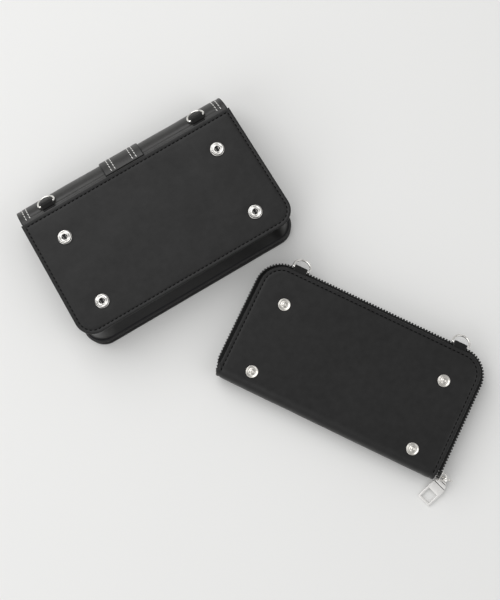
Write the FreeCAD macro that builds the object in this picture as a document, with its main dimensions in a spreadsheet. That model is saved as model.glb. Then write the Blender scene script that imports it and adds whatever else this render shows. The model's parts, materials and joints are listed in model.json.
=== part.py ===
"""Chain wallet: a flap pouch and a zip-round long wallet that presses onto its back with four snaps.

The pouch lies on its flap with its back up, and the wallet lies beside it with its studs up.
X runs along the pouch's long side, Y towards the pouch's folded top, Z up from the surface they lie on.
The origin is on that surface, under the centre of the four snap sockets. Sizes are in millimetres.
"""

import FreeCAD, Part

import math
import os

import Sketcher

V = FreeCAD.Vector

SIZES = {
    # the snaps that join the two units
    "snap_dx": 139.0,
    "snap_dy": 59.0,
    "socket_r": 5.7,
    "socket_bore_r": 2.15,
    "socket_rise": 2.2,
    "stud_base_r": 5.0,
    "stud_r": 1.9,
    "rivet_r": 1.5,
    "rivet_hole_r": 1.6,
    # pouch
    "pouch_half_w": 95.0,
    "back_low": 50.0,
    "back_high": 54.7,
    "back_flare": 1.5,
    "front_low": 55.0,
    "front_high": 51.5,
    "panel_corner": 15.0,
    "leather": 1.6,
    "lining": 0.6,
    "lining_inset": 1.5,
    "back_top": 40.4,
    "front_bottom": 7.4,
    "slip_half_w": 62.0,
    "slip_low": 30.0,
    "slip_high": 24.0,
    "slip_wall": 0.8,
    "gusset_wall": 1.1,
    "gusset_inset": 2.5,
    "gusset_fold": 12.0,
    "gusset_high": 50.0,
    "fold_bottom": 37.0,
    # flap
    "flap_half_w": 94.0,
    "flap_bottom": 1.6,
    "flap_low": 56.2,
    "band_y": 51.0,
    "band_outer": 19.25,
    "flap_seam": 55.2,
    "strap_half_w": 17.5,
    "strap_wall": 1.6,
    "strap_low": 47.0,
    "magnet_y": 34.0,
    "magnet_r": 9.0,
    "magnet_stud_r": 3.8,
    "magnet_bore_r": 5.2,
    "washer_r": 7.0,
    "washer_wall": 0.5,
    # D-rings and their leather tabs
    "ring_half_w": 6.9,
    "ring_bend": 1.6,
    "ring_leg": 2.6,
    "wire_r": 0.85,
    "tab_half_w": 5.4,
    "tab_bore_r": 1.1,
    "tab_wall": 1.05,
    # wallet, in its own axes: origin at the middle of the studs, +Y towards the zip
    "wallet_half_w": 95.0,
    "wallet_thick": 24.0,
    "spine": 43.0,
    "spine_round": 9.5,
    "zip_edge": 58.0,
    "cover_corner": 18.0,
    "slot_wall": 0.7,
    "tape_wall": 0.8,
    "teeth_depth": 2.2,
    "teeth_out": 3.8,
    "teeth_tall": 1.8,
    "teeth_gap": 1.3,
    "teeth_end": 41.0,
    "tape_end": 33.0,
    # main zip slider and its pull
    "slider_rest": 34.0,
    "slider_len": 8.5,
    "slider_wall": 1.0,
    "slider_tall": 8.0,
    "link_r": 4.3,
    "link_wire_r": 0.7,
    "pull_half_w": 6.0,
    "pull_wall": 1.8,
    "pull_long": 18.0,
    "pull_neck": 7.0,
    # coin pocket
    "coin_half_w": 86.0,
    "coin_thick": 6.0,
    "coin_low": 37.0,
    "coin_high": 40.0,
    "coin_wall": 0.8,
}

WALLET_X, WALLET_Y, WALLET_TURN = 66.4, -177.1, -56.5
RINGS_X = 68.5
WALLET_RINGS_X = 70.0
PULL_TURN = 20.0


class Dim:
    """A length that is both a number and the spreadsheet expression that gives it."""

    def __init__(self, text, value):
        self.text = text
        self.value = value

    @staticmethod
    def of(thing):
        return thing if isinstance(thing, Dim) else Dim("%.6g" % thing, float(thing))

    def join(self, sign, other, value):
        return Dim("(%s %s %s)" % (self.text, sign, Dim.of(other).text), value)

    def __add__(self, other):
        return self.join("+", other, self.value + Dim.of(other).value)

    def __sub__(self, other):
        return self.join("-", other, self.value - Dim.of(other).value)

    def __mul__(self, other):
        return self.join("*", other, self.value * Dim.of(other).value)

    def __truediv__(self, other):
        return self.join("/", other, self.value / Dim.of(other).value)

    def __radd__(self, other):
        return Dim.of(other) + self

    def __rsub__(self, other):
        return Dim.of(other) - self

    def __neg__(self):
        return Dim("(0 - %s)" % self.text, -self.value)


doc = FreeCAD.newDocument("ChainWallet")
sheet = doc.addObject("Spreadsheet::Sheet", "Sizes")
for row, (alias, size) in enumerate(SIZES.items(), 1):
    sheet.set("A%d" % row, alias)
    sheet.set("B%d" % row, "%.6g" % size)
    sheet.setAlias("B%d" % row, alias)
doc.recompute()
D = {alias: Dim("Sizes.%s" % alias, size) for alias, size in SIZES.items()}

WALLET = FreeCAD.Placement(V(WALLET_X, WALLET_Y, 0), FreeCAD.Rotation(V(0, 0, 1), WALLET_TURN))
MID = D["wallet_thick"] / 2
SNAPS = [(sx * SIZES["snap_dx"] / 2, sy * SIZES["snap_dy"] / 2) for sx in (-1, 1) for sy in (-1, 1)]
nodes = {}


def keep(node, thing, placement=None):
    """Labels a finished object, places it, and lists it for export under that name."""
    thing.Label = node
    if placement is not None:
        thing.Placement = placement
    nodes[node] = thing
    return thing


def new_body(name):
    body = doc.addObject("PartDesign::Body", name)
    body.AllowCompound = True
    return body


def sketch_on(body, role, height, name="Outline"):
    """A sketch on one of the body's origin planes, moved along that plane's normal by height."""
    sketch = body.newObject("Sketcher::SketchObject", name)
    plane = [f for f in body.Origin.OriginFeatures if f.Role == role][0]
    sketch.AttachmentSupport = [(plane, "")]
    sketch.MapMode = "FlatFace"
    sketch.setExpression("AttachmentOffset.Base.z", Dim.of(height).text)
    return sketch


def arc_between(start, end, radius):
    """The minor arc of that radius; a positive radius bulges to the right of start to end."""
    half = (end - start) * 0.5
    side = V(half.y, -half.x, 0).normalize()
    reach = math.sqrt(max(radius * radius - half.Length ** 2, 0))
    centre = start + half - side * math.copysign(reach, radius)
    peak = centre + side * math.copysign(abs(radius), radius)
    return Part.Arc(start, peak, end)


def draw(sketch, corners, arcs=None):
    """A closed outline through corners. arcs gives the radius of each edge that is an arc, by its number."""
    arcs = arcs or {}
    corners = [(Dim.of(x), Dim.of(y)) for x, y in corners]
    spots = [V(x.value, y.value, 0) for x, y in corners]
    first = sketch.GeometryCount
    for i, start in enumerate(spots):
        end = spots[(i + 1) % len(spots)]
        if i in arcs:
            sketch.addGeometry(arc_between(start, end, Dim.of(arcs[i]).value), False)
        else:
            sketch.addGeometry(Part.LineSegment(start, end), False)
    tail = {}
    for i in range(len(spots)):
        geometry = sketch.Geometry[first + i]
        forward = (sketch.getPoint(first + i, 1) - spots[i]).Length < 1e-6
        tail[i] = (1, 2) if forward else (2, 1)
        if i in arcs:
            radius = Dim.of(arcs[i])
            number = sketch.addConstraint(Sketcher.Constraint("Radius", first + i, geometry.Radius))
            size = radius if radius.value > 0 else -radius
            sketch.setExpression("Constraints[%d]" % number, size.text)
    for i in range(len(spots)):
        after = (i + 1) % len(spots)
        sketch.addConstraint(
            Sketcher.Constraint("Coincident", first + i, tail[i][1], first + after, tail[after][0])
        )
    for i, (x, y) in enumerate(corners):
        for kind, size in (("DistanceX", x), ("DistanceY", y)):
            number = sketch.addConstraint(
                Sketcher.Constraint(kind, -1, 1, first + i, tail[i][0], size.value)
            )
            sketch.setExpression("Constraints[%d]" % number, size.text)


def circle(sketch, x, y, radius):
    """A full circle whose centre and radius follow the sheet."""
    x, y, radius = Dim.of(x), Dim.of(y), Dim.of(radius)
    at = sketch.addGeometry(Part.Circle(V(x.value, y.value, 0), V(0, 0, 1), radius.value), False)
    for kind, size in (("DistanceX", x), ("DistanceY", y)):
        number = sketch.addConstraint(Sketcher.Constraint(kind, -1, 1, at, 3, size.value))
        sketch.setExpression("Constraints[%d]" % number, size.text)
    number = sketch.addConstraint(Sketcher.Constraint("Radius", at, radius.value))
    sketch.setExpression("Constraints[%d]" % number, radius.text)


def pad(body, sketch, length, both_ways=False):
    feature = body.newObject("PartDesign::Pad", "Pad")
    feature.Profile = sketch
    feature.setExpression("Length", Dim.of(length).text)
    feature.Midplane = both_ways
    return feature


def pocket(body, sketch, depth):
    """Cuts both ways from the sketch's plane, by depth in all."""
    feature = body.newObject("PartDesign::Pocket", "Pocket")
    feature.Profile = sketch
    feature.setExpression("Length", Dim.of(depth).text)
    feature.Midplane = True
    return feature


def plate(node, corners, low, high, arcs=None, holes=(), placement=None):
    """A flat sheet from low to high, with round holes given as (x, y, radius)."""
    body = new_body(node)
    sketch = sketch_on(body, "XY_Plane", low)
    draw(sketch, corners, arcs)
    for x, y, radius in holes:
        circle(sketch, x, y, radius)
    pad(body, sketch, Dim.of(high) - Dim.of(low))
    return keep(node, body, placement)


def lower_rounded(half_w, low, high, corner, flare=0.0):
    """A panel outline with its two lower corners rounded, anticlockwise from the lower left.

    flare widens it below, on each side.
    """
    wide = half_w + flare
    corners = [
        (corner - wide, -low),
        (wide - corner, -low),
        (wide, corner - low),
        (half_w, high),
        (-half_w, high),
        (-wide, corner - low),
    ]
    return corners, {1: corner, 5: corner}


def upper_rounded(half_w, low, high, corner):
    """A panel outline with its two upper corners rounded, anticlockwise from the lower left."""
    corners = [
        (-half_w, -low),
        (half_w, -low),
        (half_w, high - corner),
        (half_w - corner, high),
        (corner - half_w, high),
        (-half_w, high - corner),
    ]
    return corners, {2: corner, 4: corner}


def u_band(half_w, end, reach, corner, wall, upward):
    """The outline of a U-shaped wall: its outer face at half_w and reach, its arms' ends at end."""
    inner_w, inner_reach, inner_corner = half_w - wall, reach - wall, corner - wall
    sign = 1 if upward else -1
    outer = [
        (half_w, end),
        (half_w, (reach - corner) * sign),
        (half_w - corner, reach * sign),
        (corner - half_w, reach * sign),
        (-half_w, (reach - corner) * sign),
        (-half_w, end),
    ]
    inner = [
        (-inner_w, end),
        (-inner_w, (inner_reach - inner_corner) * sign),
        (inner_corner - inner_w, inner_reach * sign),
        (inner_w - inner_corner, inner_reach * sign),
        (inner_w, (inner_reach - inner_corner) * sign),
        (inner_w, end),
    ]
    arcs = {1: corner * sign, 3: corner * sign, 7: inner_corner * -sign, 9: inner_corner * -sign}
    return outer + inner, arcs


def loft(body, sections):
    """A ruled loft through (height, corners, arcs) sections."""
    sketches = []
    for height, corners, arcs in sections:
        sketch = sketch_on(body, "XY_Plane", height, "Section")
        draw(sketch, corners, arcs)
        sketches.append(sketch)
    feature = body.newObject("PartDesign::AdditiveLoft", "Loft")
    feature.Profile = sketches[0]
    feature.Sections = [(s, [""]) for s in sketches[1:]]
    feature.Ruled = True
    return feature


def turned(node, outline, spots, base, placement=None, arcs=None):
    """The same turned piece at each spot: outline holds (radius, height above base) pairs."""
    body = new_body(node)
    for x, y in spots:
        sketch = body.newObject("Sketcher::SketchObject", "Profile")
        plane = [f for f in body.Origin.OriginFeatures if f.Role == "XZ_Plane"][0]
        sketch.AttachmentSupport = [(plane, "")]
        sketch.MapMode = "FlatFace"
        sketch.AttachmentOffset = FreeCAD.Placement(V(x, 0, -y), FreeCAD.Rotation())
        sketch.setExpression("AttachmentOffset.Base.y", Dim.of(base).text)
        draw(sketch, outline, arcs)
        feature = body.newObject("PartDesign::Revolution", "Revolution")
        feature.Profile = sketch
        feature.ReferenceAxis = (sketch, ["V_Axis"])
        feature.Angle = 360.0
    return keep(node, body, placement)


# ---------------------------------------------------------------- flap of the pouch


def band_profile(body, inner, outer, seam, low, height):
    """A sheet between two radii of the band that runs down to the flap's plate and along it."""
    axis_y, axis_z = D["band_y"], D["flap_bottom"] + D["band_outer"]
    rise_out = math.sqrt(outer.value ** 2 - (seam.value - axis_y.value) ** 2)
    rise_in = math.sqrt(inner.value ** 2 - (seam.value - axis_y.value) ** 2)
    corners = [
        (-low, axis_z - outer),
        (axis_y, axis_z - outer),
        (axis_y + outer, axis_z),
        (seam, axis_z + rise_out),
        (seam, axis_z + rise_in),
        (axis_y + inner, axis_z),
        (axis_y, axis_z - inner),
        (-low, axis_z - inner),
    ]
    sketch = sketch_on(body, "YZ_Plane", 0)
    draw(sketch, corners, {1: outer, 2: outer, 4: -inner, 5: -inner})
    return pad(body, sketch, height, both_ways=True)


def round_ends(body, half_w, low, corner):
    """Rounds the two free corners of the plate by cutting what lies outside them."""
    for side in (-1, 1):
        sketch = sketch_on(body, "XY_Plane", 0)
        edge = half_w * side
        corners = [
            (edge, corner - low),
            (edge - corner * side, -low),
            (edge - corner * side, -low - 2),
            (edge + side * 2, -low - 2),
            (edge + side * 2, corner - low),
        ]
        draw(sketch, corners, {0: corner * -side})
        pocket(body, sketch, 30)


def make_flap():
    outer = D["band_outer"]
    inner = outer - D["leather"]
    panel = new_body("flap_panel")
    band_profile(panel, inner, outer, D["flap_seam"], D["flap_low"], D["flap_half_w"] * 2)
    round_ends(panel, D["flap_half_w"], D["flap_low"], D["panel_corner"])
    recess = sketch_on(panel, "XY_Plane", D["flap_bottom"] + D["leather"])
    circle(recess, 0, -D["magnet_y"], D["washer_r"] + 0.1)
    pocket(panel, recess, D["washer_wall"] * 2 + 0.1)
    keep("flap_panel", panel)

    lining = new_body("flap_lining")
    inset = D["flap_half_w"] - 1.5
    band_profile(lining, inner - D["lining"], inner, D["flap_seam"] + 0.4, D["flap_low"] - 1.5, inset * 2)
    round_ends(lining, inset, D["flap_low"] - 1.5, D["panel_corner"] - 1.5)
    keep("flap_lining", lining)

    strap = new_body("flap_strap")
    rise = outer + D["strap_wall"]
    band_profile(strap, outer, rise, D["flap_seam"] + 0.9, D["strap_low"], D["strap_half_w"] * 2)
    keep("flap_strap", strap)


def make_magnets():
    """A magnetic button: the flap carries the stud, and the front panel the socket."""
    lining_top = D["flap_bottom"] + D["leather"] + D["lining"]
    spot = [(0, -SIZES["magnet_y"])]
    stud = [
        (0, 0),
        (D["magnet_r"], 0),
        (D["magnet_r"] - 0.5, 0.9),
        (D["magnet_stud_r"], 0.9),
        (D["magnet_stud_r"] - 0.6, 2.4),
        (0, 2.4),
    ]
    turned("flap_magnet", stud, spot, lining_top)
    socket = [
        (D["magnet_bore_r"], 0),
        (D["magnet_r"], 0.5),
        (D["magnet_r"], 2.0),
        (0, 2.0),
        (0, 1.6),
        (D["magnet_bore_r"], 1.6),
    ]
    turned("front_magnet", socket, spot, D["front_bottom"] - 2.0)
    washer = [(0, 0), (D["washer_r"], 0), (D["washer_r"], D["washer_wall"]), (0, D["washer_wall"])]
    turned("flap_magnet_washer", washer, spot, lining_top - D["lining"] - D["washer_wall"])
    turned("front_magnet_washer", washer, spot, D["front_bottom"] + D["leather"] - D["washer_wall"])


# ---------------------------------------------------------------- body of the pouch


def make_pouch():
    back_inside = D["back_top"] - D["leather"]
    front_inside = D["front_bottom"] + D["leather"]
    holes = [(x, y, D["rivet_hole_r"]) for x, y in SNAPS]
    half, corner, flare = D["pouch_half_w"], D["panel_corner"], D["back_flare"]
    corners, arcs = lower_rounded(half, D["back_low"], D["back_high"], corner, flare)
    plate("back_panel", corners, back_inside, D["back_top"], arcs, holes)
    rim = D["lining_inset"]
    corners, arcs = lower_rounded(half - rim, D["back_low"] - rim, D["back_high"] - rim, corner - rim, flare)
    plate("back_lining", corners, back_inside - D["lining"], back_inside, arcs, holes)
    corners, arcs = lower_rounded(half, D["front_low"], D["front_high"], corner)
    front = plate("front_panel", corners, D["front_bottom"], front_inside, arcs)
    recess = sketch_on(front, "XY_Plane", front_inside)
    circle(recess, 0, -D["magnet_y"], D["washer_r"] + 0.1)
    pocket(front, recess, D["washer_wall"] * 2 + 0.1)
    corners, arcs = lower_rounded(half - rim, D["front_low"] - rim, D["front_high"] - rim, corner - rim)
    plate("front_lining", corners, front_inside, front_inside + D["lining"], arcs)
    pocket_half, pocket_low, pocket_high = D["slip_half_w"], D["slip_low"], D["slip_high"]
    corners = [(-pocket_half, -pocket_low), (pocket_half, -pocket_low)]
    corners += [(pocket_half, pocket_high), (-pocket_half, pocket_high)]
    under = back_inside - D["lining"]
    plate("slip_pocket", corners, under - D["slip_wall"], under)

    gusset = new_body("pouch_gusset")
    wall, inset, fold = D["gusset_wall"], D["gusset_inset"], D["gusset_fold"]
    top = back_inside - D["lining"]
    bottom = front_inside + D["lining"]
    middle = (top + bottom) / 2

    def section(height, offset, low):
        corners, arcs = u_band(
            D["pouch_half_w"] - offset, D["gusset_high"], low, D["panel_corner"] - offset, wall, False
        )
        return height, corners, arcs

    loft(
        gusset,
        [
            section(bottom, inset, D["front_low"] - inset),
            section(middle, fold, D["fold_bottom"]),
            section(top, inset, D["back_low"] - inset),
        ],
    )
    keep("pouch_gusset", gusset)


def make_sockets():
    """Snap sockets on the back panel: a rolled cap, a wire spring in it and a rivet through the leather."""
    base, rise = D["back_top"], D["socket_rise"]
    cap = [
        (D["socket_bore_r"], 0.7),
        (D["socket_r"] - 0.7, 0.7),
        (D["socket_r"] - 0.7, 0),
        (D["socket_r"], 0),
        (D["socket_r"], rise - 0.6),
        (D["socket_r"] - 0.6, rise),
        (D["socket_bore_r"] + 0.4, rise),
        (D["socket_bore_r"], rise - 0.4),
    ]
    turned("snap_sockets", cap, SNAPS, base, arcs={4: 0.6, 6: 0.4})
    springs = []
    for x, y in SNAPS:
        for side in (-1, 1):
            wire = doc.addObject("Part::Cylinder", "SpringWire")
            wire.Radius = 0.25
            wire.Height = 4.4
            turn = FreeCAD.Rotation(V(1, 0, 0), 90)
            wire.Placement = FreeCAD.Placement(V(x + side * 2.45, y + 2.2, base.value + 0.35), turn)
            springs.append(wire)
    group = doc.addObject("Part::Compound", "snap_springs")
    group.Links = springs
    keep("snap_springs", group)
    under = D["leather"] + D["lining"]
    rivet = [
        (0, -under - 0.5),
        (4.2, -under - 0.5),
        (4.2, -under),
        (D["rivet_r"], -under),
        (D["rivet_r"], 0.05),
        (0, 0.05),
    ]
    turned("snap_socket_rivets", rivet, SNAPS, base)


# ---------------------------------------------------------------- D-rings and their tabs


def ring_spot_on_band():
    """Centre of the bar of a ring that lies on the band, 26 degrees round from its top."""
    reach = SIZES["band_outer"] + SIZES["wire_r"] + SIZES["tab_wall"] + 0.35
    turn = math.radians(26)
    y = SIZES["band_y"] + reach * math.sin(turn)
    z = SIZES["flap_bottom"] + SIZES["band_outer"] + reach * math.cos(turn)
    return y, z


def d_ring(node, placement):
    """A D-ring in its own XY plane: the bar along X through the origin, the bow towards +Y."""
    body = new_body(node)
    half, bend, leg = D["ring_half_w"], D["ring_bend"], D["ring_leg"]
    path = sketch_on(body, "XY_Plane", 0, "Path")
    corners = [
        (bend - half, 0),
        (half - bend, 0),
        (half, bend),
        (half, leg),
        (0, leg + half),
        (-half, leg),
        (-half, bend),
    ]
    draw(path, corners, {1: bend, 3: half, 4: half, 6: bend})
    section = sketch_on(body, "YZ_Plane", 0, "Section")
    circle(section, 0, 0, D["wire_r"])
    pipe = body.newObject("PartDesign::AdditivePipe", "Pipe")
    pipe.Profile = section
    pipe.Spine = (path, ["Edge%d" % (i + 1) for i in range(len(corners))])
    return keep(node, body, placement)


def ring_tab(node, tail, placement):
    """A leather loop round a ring's bar along X, with a folded tail of that length towards -Y."""
    body = new_body(node)
    bore, outer = D["tab_bore_r"], D["tab_bore_r"] + D["tab_wall"]
    sketch = sketch_on(body, "YZ_Plane", 0)
    low = -outer
    corners = [(0, low), (outer, 0), (0, outer), (-outer, 0), (-Dim.of(tail), low + D["tab_wall"])]
    corners += [(-Dim.of(tail), low)]
    draw(sketch, corners, {0: outer, 1: outer, 2: outer})
    circle(sketch, 0, 0, bore)
    pad(body, sketch, D["tab_half_w"] * 2, both_ways=True)
    return keep(node, body, placement)


def make_pouch_rings():
    y, z = ring_spot_on_band()
    for side, name in ((-1, "left"), (1, "right")):
        spot = V(side * RINGS_X, y, z)
        lie = FreeCAD.Rotation(V(1, 0, 0), -42)
        d_ring("pouch_d_ring_" + name, FreeCAD.Placement(spot, lie))
        ring_tab("pouch_ring_tab_" + name, 4.5, FreeCAD.Placement(spot, FreeCAD.Rotation(V(1, 0, 0), -20)))


# ---------------------------------------------------------------- covers of the wallet


def cover(node, upper):
    """One leather half with its quarter of the rounded spine."""
    body = new_body(node)
    radius, wall, clear = D["spine_round"], D["leather"], 0.2
    spine, arc_start = -D["spine"], D["spine_round"] - D["spine"]
    if upper:
        face, inside = D["wallet_thick"], D["wallet_thick"] - wall
        turn, split = face - radius, MID + clear
    else:
        face, inside = Dim.of(0), wall
        turn, split = face + radius, MID - clear
    corners = [
        (D["zip_edge"], face),
        (arc_start, face),
        (spine, turn),
        (spine, split),
        (spine + wall, split),
        (spine + wall, turn),
        (arc_start, inside),
        (D["zip_edge"], inside),
    ]
    sign = -1 if upper else 1
    sketch = sketch_on(body, "YZ_Plane", 0)
    draw(sketch, corners, {1: radius * -sign, 5: (radius - wall) * sign})
    pad(body, sketch, D["wallet_half_w"] * 2, both_ways=True)
    for side in (-1, 1):
        trim = sketch_on(body, "XY_Plane", MID)
        edge, corner, top = D["wallet_half_w"] * side, D["cover_corner"], D["zip_edge"]
        outline = [
            (edge, top - corner),
            (edge - corner * side, top),
            (edge - corner * side, top + 2),
            (edge + side * 2, top + 2),
            (edge + side * 2, top - corner),
        ]
        draw(trim, outline, {0: corner * side})
        pocket(body, trim, D["wallet_thick"] + 4)
    if upper:
        holes = sketch_on(body, "XY_Plane", face)
        for x, y in SNAPS:
            circle(holes, x, y, D["rivet_hole_r"])
        pocket(body, holes, wall * 2 + 1)
    return keep(node, body, WALLET)


def make_wallet_shells():
    thick, wall, lining, slot = D["wallet_thick"], D["leather"], D["lining"], D["slot_wall"]
    holes = [(x, y, D["rivet_hole_r"]) for x, y in SNAPS]
    cover("wallet_lower_cover", upper=False)
    cover("wallet_upper_cover", upper=True)
    inset = 3.6
    low = D["spine"] - D["spine_round"]
    corner = D["cover_corner"] - inset
    outline = upper_rounded(D["wallet_half_w"] - inset, low, D["zip_edge"] - inset, corner)
    plate("wallet_lower_lining", outline[0], wall, wall + lining, outline[1], placement=WALLET)
    plate("wallet_upper_lining", outline[0], thick - wall - lining, thick - wall, outline[1], holes, WALLET)
    for upper in (False, True):
        steps = new_body("steps")
        for step in range(3):
            start = thick - wall - lining - slot * (step + 1) if upper else wall + lining + slot * step
            sketch = sketch_on(steps, "XY_Plane", start)
            half, low, high = 84.0, 25.0, 44.0 - 14.0 * step
            draw(sketch, [(-half, -low), (half, -low), (half, high), (-half, high)])
            if upper and step == 0:
                for x, y in SNAPS[1::2]:
                    circle(sketch, x, y, 4.3)
            pad(steps, sketch, slot)
        keep("wallet_%s_card_slots" % ("upper" if upper else "lower"), steps, WALLET)


def make_zip():
    """The zip runs round three sides. Its tapes bow outwards, so that the teeth stand proud of the covers."""
    half, edge, corner, end = D["wallet_half_w"], D["zip_edge"], D["cover_corner"], -D["teeth_end"]
    tall, gap, out = D["teeth_tall"], D["teeth_gap"], D["teeth_out"]
    foot, wall = -2.2, D["tape_wall"]
    for upper, name in ((False, "lower"), (True, "upper")):
        sign = 1 if upper else -1
        near = MID + gap / 2 * sign
        far = near + tall * sign
        low, high = (near, far) if upper else (far, near)
        teeth = new_body("zip_teeth_" + name)
        sketch = sketch_on(teeth, "XY_Plane", low)
        corners, arcs = u_band(half + out, end, edge + out, corner + out, D["teeth_depth"], True)
        draw(sketch, corners, arcs)
        pad(teeth, sketch, high - low)
        keep("zip_teeth_" + name, teeth, WALLET)

        tape = new_body("zip_tape_" + name)
        seat = D["wallet_thick"] - D["leather"] if upper else D["leather"]
        by_teeth = out - 0.6
        sections = []
        for height, offset in ((seat, Dim.of(foot)), (far, by_teeth)):
            corners, arcs = u_band(half + offset, -D["tape_end"], edge + offset, corner + offset, wall, True)
            sections.append((height, corners, arcs))
        if upper:
            sections.reverse()
        loft(tape, sections)
        keep("zip_tape_" + name, tape, WALLET)

    stops = []
    for side in (-1, 1):
        stop = doc.addObject("Part::Box", "Stop")
        stop.Length, stop.Width, stop.Height = 2.0, 1.4, 1.6
        x = side * (SIZES["wallet_half_w"] + SIZES["teeth_out"] - 1.1) - 1.0
        y = -SIZES["teeth_end"] - 1.4
        z = MID.value - SIZES["teeth_gap"] / 2 - SIZES["teeth_tall"]
        stop.Placement = FreeCAD.Placement(V(x, y, z), FreeCAD.Rotation())
        stops.append(stop)
    group = doc.addObject("Part::Compound", "zip_stops")
    group.Links = stops
    keep("zip_stops", group, WALLET)


def make_slider():
    """Slider on the right-hand arm: an outer and an inner plate joined by a thin blade between the teeth."""
    start = -D["slider_rest"]
    end = start - D["slider_len"]
    half_tall = D["slider_tall"] / 2
    outer_low = D["wallet_half_w"] + D["teeth_out"] + 0.2
    outer_high = outer_low + D["slider_wall"]
    inner_high = D["wallet_half_w"] + D["teeth_out"] - D["teeth_depth"] - 0.4
    inner_low = inner_high - 1.0
    body = new_body("zip_slider")
    face = sketch_on(body, "XY_Plane", MID - half_tall)
    draw(face, [(outer_low, end), (outer_high, end + 0.6), (outer_high, start - 0.6), (outer_low, start)])
    pad(body, face, D["slider_tall"])
    back = sketch_on(body, "XY_Plane", MID - 2)
    short = D["leather"] + 0.4 - D["spine"]
    draw(back, [(inner_low, short), (inner_high, short), (inner_high, start), (inner_low, start)])
    pad(body, back, 4)
    blade = sketch_on(body, "XY_Plane", MID - 0.4)
    draw(
        blade,
        [
            (inner_high - 0.2, short),
            (outer_low + 0.2, short),
            (outer_low + 0.2, short + 2.4),
            (inner_high - 0.2, short + 2.4),
        ],
    )
    pad(body, blade, 0.8)
    bail = sketch_on(body, "XY_Plane", MID - 0.6)
    rise, wire = 4.4, 1.3
    corners = [
        (outer_high - 0.2, end + 0.7),
        (outer_high + rise - 1.6, end + 0.7),
        (outer_high + rise, end + 2.3),
        (outer_high + rise, start - 2.3),
        (outer_high + rise - 1.6, start - 0.7),
        (outer_high - 0.2, start - 0.7),
        (outer_high - 0.2, start - 0.7 - wire),
        (outer_high + rise - 1.6, start - 0.7 - wire),
        (outer_high + rise - wire, start - 2.4),
        (outer_high + rise - wire, end + 2.4),
        (outer_high + rise - 1.6, end + 0.7 + wire),
        (outer_high - 0.2, end + 0.7 + wire),
    ]
    draw(bail, corners, {1: 1.6, 3: 1.6})
    pad(body, bail, 1.2)
    keep("zip_slider", body, WALLET)
    wire_x = outer_high.value + rise - wire / 2
    return wire_x, end.value + 0.7 + wire + 2.4


def make_pull(wire_x, wire_y):
    """A ring through the slider's bail, and a flat puller with a window, its tip on the surface."""
    drop = math.radians(37)
    hang = SIZES["link_r"] - SIZES["link_wire_r"] - 1.0
    centre = V(wire_x + hang * math.sin(drop), wire_y, MID.value - hang * math.cos(drop))
    link = doc.addObject("Part::Torus", "zip_pull_link")
    link.setExpression("Radius1", D["link_r"].text)
    link.setExpression("Radius2", D["link_wire_r"].text)
    stand = FreeCAD.Placement(centre, FreeCAD.Rotation(V(1, 0, 0), 90))
    keep("zip_pull_link", link, WALLET.multiply(stand))

    eye = centre + V(0, 0, -SIZES["link_r"])
    body = new_body("zip_pull_tab")
    bore, barrel, wall = 1.45, 2.35, D["pull_wall"]
    side_view = sketch_on(body, "YZ_Plane", 0)
    circle(side_view, 0, 0, barrel)
    circle(side_view, 0, 0, bore)
    pad(body, side_view, 3.0, both_ways=True)
    neck, long, half = D["pull_neck"], D["pull_long"], D["pull_half_w"]
    flat = sketch_on(body, "XY_Plane", -wall / 2)
    corners = [
        (-1.5, -1.9),
        (-3.2, -3.4),
        (-half + 1.4, -neck),
        (-half, -neck - 1.5),
        (-half, -neck - long + 1),
        (-half + 1, -neck - long),
        (half - 1, -neck - long),
        (half, -neck - long + 1),
        (half, -neck - 1.5),
        (half - 1.4, -neck),
        (3.2, -3.4),
        (1.5, -1.9),
    ]
    draw(flat, corners)
    frame = 1.7
    low, high = -neck - long + frame, -neck - long + frame + 9.0
    draw(flat, [(-half + frame, low), (half - frame, low), (half - frame, high), (-half + frame, high)])
    pad(body, flat, wall)
    slope = math.degrees(math.asin((eye.z - wall.value / 2) / (neck.value + long.value)))
    turn = FreeCAD.Rotation(V(0, 0, 1), -PULL_TURN).multiply(FreeCAD.Rotation(V(1, 0, 0), slope))
    keep("zip_pull_tab", body, WALLET.multiply(FreeCAD.Placement(eye, turn)))
    return eye


def make_studs():
    """Snap studs on the wallet's face: a dished base with a domed post, riveted through cover and lining."""
    base = D["wallet_thick"]
    stud = [
        (0, 0.05),
        (D["stud_base_r"], 0.05),
        (D["stud_base_r"], 0.6),
        (D["stud_base_r"] - 0.4, 0.8),
        (D["stud_base_r"] - 1.3, 0.6),
        (D["stud_r"] + 0.4, 0.6),
        (D["stud_r"], 0.9),
        (D["stud_r"], 2.1),
        (D["stud_r"] - 0.7, 2.8),
        (0, 2.8),
    ]
    turned("snap_studs", stud, SNAPS, base, WALLET)
    under = D["leather"] + D["lining"]
    rivet = [
        (0, -under - 0.5),
        (3.8, -under - 0.5),
        (3.8, -under),
        (D["rivet_r"], -under),
        (D["rivet_r"], 0.05),
        (0, 0.05),
    ]
    turned("snap_stud_rivets", rivet, SNAPS, base, WALLET)


def make_wallet_rings():
    spot_y = SIZES["zip_edge"] + 3.6
    spot_z = SIZES["wallet_thick"] - SIZES["leather"] - 2.4
    for side, name in ((-1, "left"), (1, "right")):
        spot = V(side * WALLET_RINGS_X, spot_y, spot_z)
        droop = FreeCAD.Rotation(V(1, 0, 0), -28)
        d_ring("wallet_d_ring_" + name, WALLET.multiply(FreeCAD.Placement(spot, droop)))
        flip = FreeCAD.Rotation(V(0, 1, 0), 180)
        ring_tab("wallet_ring_tab_" + name, 5.0, WALLET.multiply(FreeCAD.Placement(spot, flip)))


# ---------------------------------------------------------------- coin pocket of the wallet


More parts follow.
